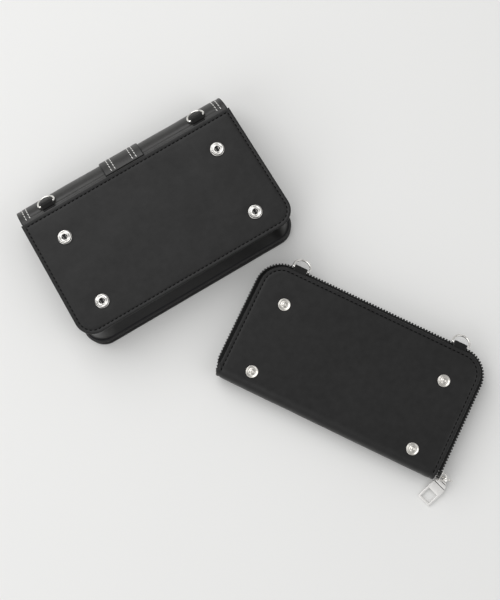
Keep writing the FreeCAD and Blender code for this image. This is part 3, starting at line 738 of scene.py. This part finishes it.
def make_back():
    length = BACK_HIGH.y - BACK_LOW.y
    narrow, wide = back_half_widths()
    def place(x, u, up):
        scale = (narrow + (wide - narrow) * min(u / (length - CORNER), 1.0)) / wide
        return (x * scale, BACK_HIGH.y - u, BACK_LOW.z + up)
    relief = snap_dents(SOCKETS, SOCKET_R, lambda u: BACK_HIGH.y - u)
    sheet = Sheet(BACK_HIGH.x, length, (0.0, CORNER), WALL, place, relief=relief)
    put(sheet.build("back_leather", LEATHER), "pouch", "leather", "back_panel")
    sheet.sew("back_stitches", inset_path(sheet, SEAM_INSET, 2.8), "pouch")
    sheet.sew("back_seam_stitches", [(3.4 - sheet.half_w, 2.9), (sheet.half_w - 3.4, 2.9)], "pouch")


def make_front():
    length = FRONT_HIGH.y - FRONT_LOW.y
    def place(x, u, up):
        return (x, FRONT_HIGH.y - u, FRONT_HIGH.z - up)
    sheet = Sheet(FRONT_HIGH.x, length, (0.0, CORNER), WALL, place)
    put(sheet.build("front_leather", BAND_LEATHER_PAINTED_LIGHT), "pouch", "leather", "front_panel")
    sheet.sew("front_stitches", inset_path(sheet, SEAM_INSET, 2.8), "pouch")


def band_geometry():
    """Centre of the band's arc as (y, z), and its inner radius."""
    outer = FLAP_HIGH.y - BAND_CENTRE_Y
    return Vector((BAND_CENTRE_Y, FLAP_LOW.z + outer)), outer - WALL


def flap_bend(centre, radius, seam_y, low):
    """From the seam at the top, round the band, and along the flap to its low edge."""
    rise = math.acos((seam_y - centre.x) / radius)
    start = centre + Vector((math.cos(rise), math.sin(rise))) * radius
    bend = Bend(start, rise - math.pi / 2)
    bend.arc(radius, -(rise + math.pi / 2))
    bend.straight(centre.x - low)
    return bend.measured()


def outside(bend):
    """Lays a sheet on the left-hand side of a clockwise bend, which is its outside, and above the table."""
    def place(x, u, up):
        spot, normal = bend.at(u)
        spot = spot - normal * up
        return (x, spot.x, max(spot.y, 0.0))
    return place


def sew_pairs(sheet, name, columns, end):
    """White stitches along the sheet, in mirrored pairs of rows at the given distances from its middle."""
    for side, word in ((-1, "left"), (1, "right")):
        for number, x in enumerate(columns):
            row = [(side * x, end[0]), (side * x, sheet.length - end[1])]
            sheet.sew("%s_stitches_%s_%d" % (name, word, number), row, "flap", slot="white_thread", pitch=3.1,
                      size=WHITE_STITCH)


def make_flap(centre, inner):
    bend = flap_bend(centre, inner, SEAM_Y + 0.15, FLAP_LOW.y)
    sheet = Sheet(FLAP_HIGH.x, bend.length, (0.0, CORNER), WALL, outside(bend), wobble=0.2)
    put(sheet.build("flap_leather", BAND_LEATHER_PAINTED_LIGHT), "flap", "leather", "flap_panel")
    sheet.sew("flap_stitches", inset_path(sheet, SEAM_INSET, 30.0), "flap")
    sew_pairs(sheet, "band", [FLAP_HIGH.x - inset for inset in BAND_ROWS], (1.0, 12))


def make_strap(centre, inner):
    bend = flap_bend(centre, inner + WALL + 0.05, SEAM_Y + 0.2, STRAP_LOW.y)
    thick = STRAP_HIGH.y - FLAP_HIGH.y
    sheet = Sheet(STRAP_HIGH.x, bend.length, (0.0, 2.0), thick, outside(bend), seam=0, wobble=0.1)
    put(sheet.build("strap_leather", BAND_LEATHER_PAINTED_LIGHT), "flap", "leather", "flap_strap")
    sew_pairs(sheet, "strap", STRAP_ROWS, (1.2, 3))


def gusset_ring(half, end_y, low_y, corner, per_side=16, per_corner=10, per_bottom=40):
    """Points of a U in plan, from the left arm's end round to the right arm's end."""
    arm = low_y + corner
    inner = half - corner
    points = [(-half, end_y + (arm - end_y) * k / per_side) for k in range(per_side)]
    turns = [math.pi / 2 * k / per_corner for k in range(per_corner)]
    points += [(-inner - corner * math.cos(turn), arm - corner * math.sin(turn)) for turn in turns]
    points += [(-inner + 2 * inner * k / per_bottom, low_y) for k in range(per_bottom)]
    points += [(inner + corner * math.sin(turn), arm - corner * math.cos(turn)) for turn in turns]
    return points + [(half, arm + (end_y - arm) * k / per_side) for k in range(per_side + 1)]


def corner_closeness(spot, half, low_y):
    """How near a point of the gusset lies to a lower corner, where its fold is pulled flat."""
    near = 0.0
    for side, strength, spread in ((-1, 0.95, 15.0), (1, 0.8, 11.0)):
        far = math.hypot(spot[0] - side * (half - 4), spot[1] - (low_y + 4))
        near = max(near, strength * math.exp(-((far / spread) ** 4)))
    return near


def make_gusset():
    """The accordion side wall: one inward fold with a soft crease, which flattens out at the corners."""
    low, high = local_box("pouch_gusset", POUCH)
    half, corner = high.x, CORNER - (FRONT_HIGH.x - high.x)
    lean = BACK_LOW.y - FRONT_LOW.y
    levels = 28
    rings = []
    for i in range(levels + 1):
        t = i / levels
        sag = (1 - abs(2 * t - 1)) ** 0.92
        z = low.z + (high.z - low.z) * t
        low_y = low.y + lean * t
        outer = gusset_ring(half, high.y, low_y, corner)
        folded = gusset_ring(half - GUSSET_FOLD, high.y, GUSSET_FOLD_Y, 2.5)
        ring = []
        for (ax, ay), (bx, by) in zip(outer, folded):
            depth = sag * (1 - corner_closeness((ax, ay), half, low_y))
            wave = 0.35 * noise.noise(Vector((ax / 14, ay / 14, z / 9))) * sag
            ring.append(Vector((ax + (bx - ax) * depth, ay + (by - ay) * depth + wave, z)))
        rings.append(ring)
    thick = 0.9
    inner_rings = []
    for ring in rings:
        moved = []
        for k, p in enumerate(ring):
            way = (ring[min(k + 1, len(ring) - 1)] - ring[max(k - 1, 0)]).normalized()
            moved.append(p + Vector((-way.y, way.x, 0)) * thick)
        inner_rings.append(moved)
    fit("gusset_leather", [skin(rings, inner_rings)], GUSSET_LEATHER_PAINTED_SHADE, POUCH, 50, "pouch", "leather",
        "pouch_gusset")


def make_seam_fold():
    """The turned edge that closes the seam between the back and the band."""
    def place(x, u, up):
        return (x, SEAM_Y - 1.1 + u, BACK_HIGH.z - 1.45 + up)
    sheet = Sheet(FLAP_HIGH.x - 0.4, 2.2, (0.3, 0.3), 1.0, place, seam=0, wobble=0.0)
    piece = sheet.build("seam_fold", BAND_LEATHER_PAINTED_LIGHT, step=0.3)
    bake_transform(piece)


# --- snaps


def arc_points(centre_r, centre_z, radius, start, end, steps):
    """Points of an arc in a turned profile, angles in degrees."""
    out = []
    for k in range(steps + 1):
        angle = math.radians(start + (end - start) * k / steps)
        out.append((centre_r + radius * math.cos(angle), centre_z + radius * math.sin(angle)))
    return out


def make_sockets():
    """Ring caps: a rolled rim, a dished annulus and a bore with the spring in it."""
    low, high = local_box("snap_sockets", POUCH)
    base, top, radius = low.z, high.z, SOCKET_R
    profile = [(4.6, base), (radius - 0.15, base)]
    profile += arc_points(radius - 0.55, base + 0.6, 0.55, -20, 80, 8)
    profile += arc_points(radius - 1.15, top - 0.5, 0.5, 60, 140, 6)
    profile += [(3.6, top - 0.42), (3.15, top - 0.30)]
    profile += arc_points(2.72, top - 0.42, 0.42, 60, 180, 8)
    profile += [(2.3, base + 0.75), (4.6, base + 0.7), (4.6, base)]
    fit("socket_caps", [lathe(profile, SOCKETS)], NICKEL, POUCH, 35, "pouch", "nickel", "snap_sockets")
    floor = [(0.0, base + 0.1), (2.9, base + 0.1), (2.9, base + 0.3), (0.0, base + 0.3)]
    fit("socket_floors", [lathe(floor, SOCKETS, 36)], EDGE_PAINT_AND_SHADE, POUCH, 40, "pouch", "leather")
    springs = []
    for x, y in SOCKETS:
        for side in (-1, 1):
            ts = [k / 8 - 1 for k in range(17)]
            path = [Vector((x + side * (1.25 + 0.5 * t * t), y + t * 2.5, base + 0.45)) for t in ts]
            springs.append(tube(path, 0.2, 8, closed=False))
    fit("socket_springs", springs, SATIN, POUCH, 40, "pouch", "nickel", "snap_springs")


def make_studs(spots):
    """Studs: a rolled base ring, a dished floor and a domed post with a waist."""
    low, high = local_box("snap_studs", WALLET)
    base, top = low.z - 0.03, high.z
    profile = [(0.0, base), (4.85, base)]
    profile += arc_points(4.55, base + 0.45, 0.45, -60, 110, 9)
    profile += [(3.9, base + 0.62), (3.3, base + 0.42), (2.6, base + 0.42), (2.15, base + 0.62)]
    profile += [(1.75, base + 1.0), (1.7, base + 1.5)]
    profile += arc_points(1.25, top - 0.75, 0.65, -30, 70, 8)
    profile += [(1.1, top - 0.06), (0.85, top), (0.62, top - 0.1), (0.5, top - 0.35), (0.0, top - 0.4)]
    fit("stud_bodies", [lathe(profile, spots)], STUD_NICKEL_PAINTED_DARK, WALLET, 35, "wallet_upper", "nickel",
        "snap_studs")


# --- D-rings and tabs

POUCH_TAB_TILT = math.radians(-20)


def ring_frame(spec, node):
    """Axes at a ring's bar: X along the bar, Y towards the bow, found from the CAD ring."""
    bar = Vector(spec["pos_m"])
    along = Vector(spec["axis"]).normalized()
    spots = [v.co for v in nodes[node].data.vertices]
    bow = sum(spots, Vector()) / len(spots) - bar
    bow = (bow - along * bow.dot(along)).normalized()
    return axes_at(bar, along, bow, along.cross(bow))


def make_ring(name, spec, node, body):
    half, leg, bend = 6.9, 2.6, 1.6
    flat = rounded([(-half, leg), (-half, 0), (half, 0), (half, leg)], [0, bend, bend, 0], 8)
    flat += [Vector((x, leg + y)) for x, y in circle(half, 72)[1:36]]
    path = [Vector((p.x, p.y, 0)) for p in flat]
    fit(name, [tube(path, 0.84, 18)], NICKEL, ring_frame(spec, node), 180, body, "nickel", node)


def make_tab(name, node, axes, tail, body, flip=1):
    """A strap folded round a ring's bar: two layers that meet at the tail."""
    radius = 1.15
    bend = Bend((-tail, -radius), 0.0).straight(tail, 0.5).arc(radius, math.radians(225), 0.2)
    bend.straight(tail * 0.62, 0.5).measured()
    def place(x, u, up):
        spot, normal = bend.at(u)
        spot = spot + normal * up
        return (x, spot.x, spot.y * flip)
    sheet = Sheet(5.4, bend.length, (0.6, 0.6), 0.95, place, seam=0, wobble=0.0)
    put(sheet.build(name, THIN_LEATHER, axes, step=0.35), body, "leather", node)


def make_rings_and_tabs():
    pouch_turn = Matrix.Rotation(POUCH_TAB_TILT, 4, "X")
    wallet_turn = WALLET.to_3x3().to_4x4()
    units = (("pouch", "flap", pouch_turn, 4.5, 1), ("wallet", "wallet_upper", wallet_turn, 5.0, -1))
    for side in ("left", "right"):
        for unit, body, turn, tail, flip in units:
            names = {"unit": unit, "side": side}
            ring, tab = "%(unit)s_ring_%(side)s" % names, "%(unit)s_ring_tab_%(side)s" % names
            spec = joint(ring + "_swing")
            make_ring("%(unit)s_ring_wire_%(side)s" % names, spec, "%(unit)s_d_ring_%(side)s" % names, ring)
            axes = Matrix.Translation(Vector(spec["pos_m"])) @ turn
            make_tab("%(unit)s_tab_leather_%(side)s" % names, tab, axes, tail, body, flip)


# --- wallet

COVER_LOW, COVER_HIGH = local_box("wallet_lower_cover", WALLET)
WALLET_CORNER, SPINE_R = 18.0, 9.5
THICK = local_box("wallet_upper_cover", WALLET)[1].z
TEETH_TUCK = 2.7
TEETH_GAP = 0.14


def make_cover(stud_spots):
    """One sheet of leather from the lower zip edge, round the spine, to the upper zip edge."""
    edge, spine = COVER_HIGH.y, COVER_LOW.y
    inner = SPINE_R - WALL
    flat = edge - (spine + SPINE_R)
    bend = Bend((edge, WALL), math.pi).straight(flat)
    bend.arc(inner, -math.pi / 2).straight(THICK - 2 * SPINE_R, 0.8).arc(inner, -math.pi / 2)
    bend.straight(flat).measured()
    top_start = bend.length - flat
    dents = snap_dents(stud_spots, 5.0, lambda u: spine + SPINE_R + u - top_start)
    middle = bend.length / 2
    def relief(x, u):
        bulge = 0.55 * math.exp(-(((u - middle) / 9) ** 2))
        return bulge + (dents(x, u) if u > top_start - 8 else 0.0)
    radii = (WALLET_CORNER, WALLET_CORNER)
    sheet = Sheet(COVER_HIGH.x, bend.length, radii, WALL, outside(bend), relief=relief)
    cover = sheet.build("wallet_leather", LEATHER, WALLET, step=2.2)
    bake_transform(cover)
    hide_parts("wallet_lower_cover", "wallet_upper_cover")
    rows = inset_path(sheet, SEAM_INSET, middle + 9)
    sheet.sew("wallet_upper_stitches", rows, "wallet_upper", WALLET)
    sheet.sew("wallet_lower_stitches", [(x, bend.length - u) for x, u in rows], "wallet_lower", WALLET)


def zip_path(offset, end_y, tuck=0.0):
    """The zip's run in plan: up the left side, across the top and down the right side.

    The left end bends in towards the spine by tuck.
    """
    half, edge = COVER_HIGH.x + offset, COVER_HIGH.y + offset
    corner = WALLET_CORNER + offset
    path = [(tuck - half, end_y)]
    path += [(tuck * (0.5 + 0.5 * math.cos(math.pi * k / 6)) - half, end_y + 2.2 * k) for k in range(1, 7)]
    for k in range(25):
        angle = math.pi / 2 * k / 24
        path.append((-half + corner - corner * math.cos(angle), edge - corner + corner * math.sin(angle)))
    right = [(half, end_y)] + [(-x, y) for x, y in path[7:]]
    return path + list(reversed(right))


def dense(path, step):
    """A 2-D path with points added, so that neighbours are about a step apart or nearer."""
    out = []
    for (ax, ay), (bx, by) in zip(path, path[1:]):
        count = max(1, round(math.hypot(bx - ax, by - ay) / step))
        out += [(ax + (bx - ax) * k / count, ay + (by - ay) * k / count) for k in range(count)]
    return out + [path[-1]]


def make_tape(name, node, body, upper):
    """The woven tape from under the cover's edge out to the teeth."""
    low, high = local_box(node, WALLET)
    near, far = (low.z, high.z) if upper else (high.z, low.z)
    out, seat, thick = high.x - COVER_HIGH.x - 0.15, -2.4, 0.55
    levels = 9
    grids = []
    for shift in (0.0, -thick):
        grid = []
        for i in range(levels + 1):
            t = i / levels
            path = dense(zip_path(out + (seat - out) * t ** 1.25 + shift, low.y), 4)
            grid.append([Vector((x, y, near + (far - near) * t)) for x, y in path])
        grids.append(grid)
    last = min(len(row) for grid in grids for row in grid) - 1
    for grid in grids:
        grid[:] = [[row[round(k * (len(row) - 1) / last)] for k in range(last + 1)] for row in grid]
    fit(name, [skin(*grids)], TAPE, WALLET, 60, body, "zip_tape", node)


def tooth(here, way, inward, base_z, tip_z, depth, width, nose):
    """One moulded tooth: a foot that clamps the tape and a narrower rounded head that meshes."""
    sections = [
        (0.0, 0.50, 0.92),
        (0.12, 0.56, 1.0),
        (0.52, 0.56, 1.0),
        (0.66, 0.40, 0.92),
        (0.92, 0.46, 0.86),
        (1.0, 0.34, 0.72),
    ]
    verts = []
    for rise, half_width, deep in sections:
        z = base_z + (tip_z - base_z) * rise
        front, back = depth * (1 - deep) / 2, depth * (1 + deep) / 2
        tip = front - nose
        corners = ((-1, front), (-0.55, tip), (0.55, tip), (1, front), (1, back), (-1, back))
        for across, push in corners:
            spot = here + way * across * half_width * width + inward * push
            verts.append(Vector((spot.x, spot.y, z)))
    return verts, ring_faces(len(sections), len(corners), capped=True)


def make_stops():
    """A metal crimp round the end of both rows of teeth, on each side."""
    low, high = local_box("zip_stops", WALLET)
    parts = []
    for x in (low.x + 1.0 + TEETH_TUCK, high.x - 1.0):
        outline = rounded(oblong(x - 1.0, low.y, x + 1.0, high.y), 0.35, 4)
        parts.append(bevelled_plate(outline, low.z, high.z, 0.2))
    fit("zip_stop_crimps", parts, SATIN, WALLET, 35, "wallet_lower", "nickel", "zip_stops")


def make_teeth(name, node, body, upper, pitch=2.5):
    low, high = local_box(node, WALLET)
    base, tip = (high.z, THICK / 2 + TEETH_GAP) if upper else (low.z, THICK / 2 - TEETH_GAP)
    path = zip_path(high.x - COVER_HIGH.x, low.y + 0.3, TEETH_TUCK)
    nose = 0.55 if upper else 0.1
    shift = pitch / 4 if upper else -pitch / 4
    parts = []
    for spot, way in walk(path, pitch):
        inward = Vector((way.y, -way.x))
        parts.append(tooth(spot + way * shift, way, inward, base, tip, 2.2, 1.5, nose))
    fit(name, parts, TEETH, WALLET, 35, body, "zip_teeth", node)


def flat_place(top_y, seat, turn):
    """Lays a sheet flat from top_y towards the spine, its face up for a turn of 1 and down for -1."""
    def place(x, u, up):
        return (x, top_y - u, seat + up * turn)
    return place


def make_slots():
    """Card slots: three stepped leather pockets in each half, with rolled and stitched lips."""
    for word, turn in (("lower", 1), ("upper", -1)):
        node, body = "wallet_%s_card_slots" % word, "wallet_" + word
        low, high = local_box(node, WALLET)
        wall = (high.z - low.z) / 3
        for step in range(3):
            top_y = high.y - 14.0 * step
            seat = (high.z if turn < 0 else low.z) + wall * step * turn
            sheet = Sheet(high.x, top_y - low.y, (0.8, 0.5), wall - 0.04, flat_place(top_y, seat, turn),
                          seam=1.8, puff=0.0, wobble=0.04)
            piece = sheet.build("%s_card_slot_%d" % (word, step), THIN_LEATHER, WALLET, step=4)
            put(piece, body, "card_leather", *([node] if step == 0 else []))
            line = [(2 - high.x, 1.8), (high.x - 2, 1.8)]
            sheet.sew("%s_slot_stitches_%d" % (word, step), line, body, WALLET, pitch=3.0, size=FINE_STITCH)


# --- linings and the coin pocket


def flat_sheet(name, node, body, axes, radii, face_up, narrow=0.0, seam=0, z_range=None, cloth=None,
               replaces=True):
    """A flat sheet with a CAD node's extents, its show side up or down, and its upper edge narrowed."""
    low, high = local_box(node, axes)
    low_z, high_z = z_range or (low.z, high.z)
    slot, material = cloth or ("lining", LINING)
    length = high.y - low.y
    def place(x, u, up):
        scale = 1 - narrow / high.x * (1 - min(u / (length - radii[1]), 1.0))
        return (x * scale, high.y - u, low_z + up if face_up else high_z - up)
    sheet = Sheet(high.x, length, radii, high_z - low_z, place, seam=seam, puff=0.0, wobble=0.05)
    piece = sheet.build(name, material, axes, step=4, edge=material)
    put(piece, body, slot, *([node] if replaces else []))
    return sheet


def make_linings():
    radii = (0.5, LINING_CORNER)
    flat_sheet("back_lining_cloth", "back_lining", "pouch", POUCH, radii, False, narrow=1.5)
    flat_sheet("front_lining_cloth", "front_lining", "pouch", POUCH, radii, True)
    sheet = flat_sheet("slip_pocket_cloth", "slip_pocket", "pouch", POUCH, (1.0, 3.0), False, seam=2.0)
    rows = inset_path(sheet, 2.0, 1.0)
    sheet.sew("slip_pocket_stitches", rows, "pouch", pitch=3.0, size=FINE_STITCH)
    for word, face_up in (("lower", True), ("upper", False)):
        node, body = "wallet_%s_lining" % word, "wallet_" + word
        flat_sheet(node + "_cloth", node, body, WALLET, (WALLET_CORNER - 2.4, 0.5), face_up)


def make_flap_lining(centre, inner):
    low, high = local_box("flap_lining", POUCH)
    bend = flap_bend(centre, inner - 0.58, SEAM_Y + 0.3, low.y)
    sheet = Sheet(high.x, bend.length, (0.5, LINING_CORNER), 0.55, outside(bend), seam=0, wobble=0.0)
    put(sheet.build("flap_lining_cloth", LINING, edge=LINING), "flap", "lining", "flap_lining")


def make_coin_pocket():
    """A cloth pocket with a bowed side wall, and a small metal zip along its top."""
    for word, face_up in (("front", False), ("back", True)):
        node = "coin_pocket_" + word
        flat_sheet(node + "_cloth", node, "coin_pocket", WALLET, (0.5, 0.5), face_up, seam=1.6)
    low, high = local_box("coin_pocket_gusset", WALLET)
    grids = []
    for shift, depth in ((0.0, 0.9), (0.75, 0.6)):
        grid = []
        for i in range(7):
            bow = depth * (1 - math.sin(math.pi * i / 6)) + shift
            ring = gusset_ring(high.x - bow, high.y, low.y + bow, 2.0, per_corner=4)
            grid.append([Vector((x, y, low.z + (high.z - low.z) * i / 6)) for x, y in ring])
        grids.append(grid)
    fit("coin_gusset_cloth", [skin(*grids)], LINING, WALLET, 60, "coin_pocket", "lining",
        "coin_pocket_gusset")
    low, high = local_box("coin_zip_tapes", WALLET)
    for word, z_range in (("lower", (low.z, low.z + 0.5)), ("upper", (high.z - 0.5, high.z))):
        first = word == "lower"
        flat_sheet("coin_tape_" + word, "coin_zip_tapes", "coin_pocket", WALLET, (0.3, 0.3), first,
                   z_range=z_range, cloth=("zip_tape", TAPE), replaces=first)
    low, high = local_box("coin_zip_teeth", WALLET)
    pitch, wide = 1.7, 0.65
    middle = (low.z + high.z) / 2
    parts = []
    for k in range(int((high.x - low.x) / pitch)):
        for shift, bottom, top in ((0.2, low.z, middle + 0.25), (0.2 + pitch / 2, middle - 0.25, high.z)):
            x = low.x + shift + k * pitch
            parts.append(bevelled_plate(oblong(x, low.y, x + wide, high.y), bottom, top, 0.12))
    fit("coin_teeth", parts, SATIN, WALLET, 35, "coin_pocket", "nickel", "coin_zip_teeth")


# --- main zip slider and puller


def make_slider():
    """Two plates joined by a blade between the rows of teeth, and the bail that the puller hangs from."""
    low, high = local_box("zip_slider", WALLET)
    middle = THICK / 2
    outer_x = local_box("zip_teeth_lower", WALLET)[1].x + 0.2
    centre_y = (low.y + high.y) / 2
    end, tail = (high.y - low.y) / 2, low.y + 1.5
    face_outline = rounded(
        [(-end, -2.6), (end - 2.2, -4.0), (end, -3.1), (end, 3.1), (end - 2.2, 4.0), (-end, 2.6)],
        [1.2, 1.4, 0.8, 0.8, 1.4, 1.2])
    back_outline = rounded(oblong(tail - centre_y, -1.9, end, 1.9), 0.6, 4)
    parts = []
    for outline, x, thick, bevel in ((face_outline, outer_x, 1.0, 0.3), (back_outline, low.x, 0.9, 0.2)):
        verts, faces = bevelled_plate(outline, 0.0, thick, bevel)
        parts.append(([Vector((x + v.z, centre_y + v.x, middle + v.y)) for v in verts], faces))
    blade = rounded(oblong(low.x + 0.5, tail, outer_x + 0.5, tail + 2.2), 0.3, 3)
    parts.append(bevelled_plate(blade, middle - 0.12, middle + 0.12, 0.04))
    foot, crown = outer_x + 0.8, high.x - 0.65
    bail = rounded(oblong(foot, low.y + 1.35, crown, high.y - 1.35), [0, 1.7, 1.7, 0], 8)
    parts.append(tube([Vector((p.x, p.y, middle)) for p in bail], 0.64, closed=False))
    fit("slider_body", parts, NICKEL, WALLET, 32, "zip_slider", "nickel", "zip_slider")


def make_link():
    """The ring between bail and puller."""
    low, high = local_box("zip_pull_link", WALLET)
    centre = (low + high) / 2
    path = [centre + Vector((x, 0, z)) for x, z in circle((high.x - low.x) / 2 - 0.7, 56)]
    fit("pull_link_ring", [tube(path, 0.69, 16)], NICKEL, WALLET, 180, "pull_link", "nickel", "zip_pull_link")


def pull_axes():
    """Axes at the puller's eye: X along its bore, -Y towards its tip, found from the CAD puller."""
    spec = joint("pull_swing")
    eye = Vector(spec["pos_m"])
    across = -Vector(spec["axis"]).normalized()
    spots = [v.co - eye for v in nodes["zip_pull_tab"].data.vertices]
    farthest = max(p.length for p in spots)
    tip = sum((p for p in spots if p.length > farthest * 0.93), Vector())
    tip = (tip - across * tip.dot(across)).normalized()
    return axes_at(eye, across, -tip, across.cross(-tip))


def make_pull():
    """A folded neck round the link, a groove, and a flat plate with a window; black plates in each groove's gap
    are painted shade.
    """
    axes = pull_axes()
    half, neck, reach, wall = 6.0, 7.0, 25.0, 1.8
    frame_w, window = 1.75, 9.0
    plate_outline = rounded(mirrored([(0.5 - half, -neck - 0.35), (-half, -neck - 1.2), (-half, -reach)]),
                            [0.3, 0.5, 0.8, 0.8, 0.5, 0.3], 4)
    rim, sill = half - frame_w, frame_w - reach
    hole = rounded(oblong(-rim, sill, rim, sill + window), 0.4, 4)
    shoulder = half - 0.75
    neck_outline = rounded(mirrored([(-3.8, -4.0), (-shoulder, 0.2 - neck)]), 0.3, 3)
    bar_outline = rounded(mirrored([(-2.6, -2.5), (-3.5, -3.5)]), 0.25, 3)
    parts = [
        bevelled_plate(plate_outline, -wall / 2, wall / 2, 0.28, [hole]),
        bevelled_plate(neck_outline, -1.15, 1.15, 0.22),
        bevelled_plate(bar_outline, -1.1, 1.1, 0.25),
        eye_barrel(2.3, 1.5, 1.5),
    ]
    fit("pull_plate", parts, BRUSHED, axes, 32, "pull_tab", "nickel", "zip_pull_tab")
    # Black plates in the gaps between bar, neck and plate: painted shade where each groove lies in shadow.
    groove_shades = [oblong(-4.9, -neck - 0.7, 4.9, 0.6 - neck), mirrored([(-2.6, -3.0), (-3.2, -4.4)])]
    parts = [bevelled_plate(outline, -0.55, 0.55, 0.08) for outline in groove_shades]
    fit("pull_groove_painted_shade", parts, EDGE_PAINT_AND_SHADE, axes, 32, "pull_tab", "nickel")


def eye_barrel(outer, bore, half, ease=0.15, steps=40):
    """The rolled eye at the puller's top: a short tube along X with eased rims."""
    rims = [(outer, ease - half), (outer, half - ease), (outer - ease, half), (bore + ease, half),
            (bore, half - ease), (bore, ease - half), (bore + ease, -half), (outer - ease, -half)]
    verts, faces = lathe(rims + rims[:1], [(0, 0)], steps)
    return [Vector((v.z, v.x, v.y)) for v in verts], faces


# --- scene


def make_stage():
    """Pale table under everything, and even light from the surroundings."""
    half = 8.0
    data = bpy.data.meshes.new("table")
    data.from_pydata([(x, y, 0) for x, y in oblong(-half, -half, half, half)], [], [(0, 1, 2, 3)])
    data.materials.append(table_top("table_matt", (0.80, 0.80, 0.79)))
    new_object("table", data)
    world = bpy.data.worlds.new("studio")
    world.use_nodes = True
    sky = world.node_tree.nodes["Background"].inputs
    sky["Color"].default_value = (1.0, 1.0, 1.0, 1)
    sky["Strength"].default_value = 0.52
    scene = bpy.context.scene
    scene.world = world
    scene.view_settings.view_transform = "Standard"


def add_light(name, spot, target, size, power):
    data = bpy.data.lights.new(name, "AREA")
    data.shape = "RECTANGLE"
    data.size, data.size_y = size, size
    data.energy = power
    lamp = new_object(name, data)
    lamp.location = spot
    lamp.rotation_mode = "QUATERNION"
    lamp.rotation_quaternion = (target - spot).to_track_quat("-Z", "Y")


def make_camera():
    """Nearly overhead, turned so that the pouch's long side climbs to the right."""
    roll, tilt = math.radians(30.75), math.radians(8.18)
    right = Vector((math.cos(roll), -math.sin(roll), 0))
    up_flat = Vector((math.sin(roll), math.cos(roll), 0))
    up = up_flat * math.cos(tilt) + Vector((0, 0, math.sin(tilt)))
    back = Vector((0, 0, math.cos(tilt))) - up_flat * math.sin(tilt)
    target = Vector((0.0330, -0.0827, 0))
    data = bpy.data.cameras.new("camera")
    data.lens = 73.75
    data.sensor_width = 36
    camera = new_object("camera", data)
    camera.matrix_world = axes_at(target + back, right, up, back)
    bpy.context.scene.camera = camera
    return target, right, up_flat


make_stage()
TARGET, RIGHT, UP = make_camera()
OVER = Vector((0, 0, 1))
add_light("key", TARGET - RIGHT * 0.75 + UP * 0.75 + OVER * 1.3, TARGET, 1.6, 15.5)
add_light("fill", TARGET + RIGHT * 1.1 - UP * 0.3 + OVER * 1.2, TARGET, 1.0, 3)
add_light("low_fill", TARGET - RIGHT * 0.9 - UP * 1.0 + OVER * 0.9, TARGET - UP * 0.2, 1.2, 6)
paint_cad()
make_back()
make_front()
BAND = band_geometry()
make_flap(*BAND)
make_flap_lining(*BAND)
make_strap(*BAND)
make_linings()
make_coin_pocket()
make_gusset()
make_seam_fold()
make_sockets()
STUDS = snap_spots("stud", WALLET)
make_studs(STUDS)
make_cover(STUDS)
make_rings_and_tabs()
for half_name, is_upper in (("lower", False), ("upper", True)):
    make_tape("tape_" + half_name, "zip_tape_" + half_name, "wallet_" + half_name, is_upper)
    make_teeth("teeth_" + half_name, "zip_teeth_" + half_name, "wallet_" + half_name, is_upper)
make_stops()
make_slots()
make_slider()
make_link()
make_pull()
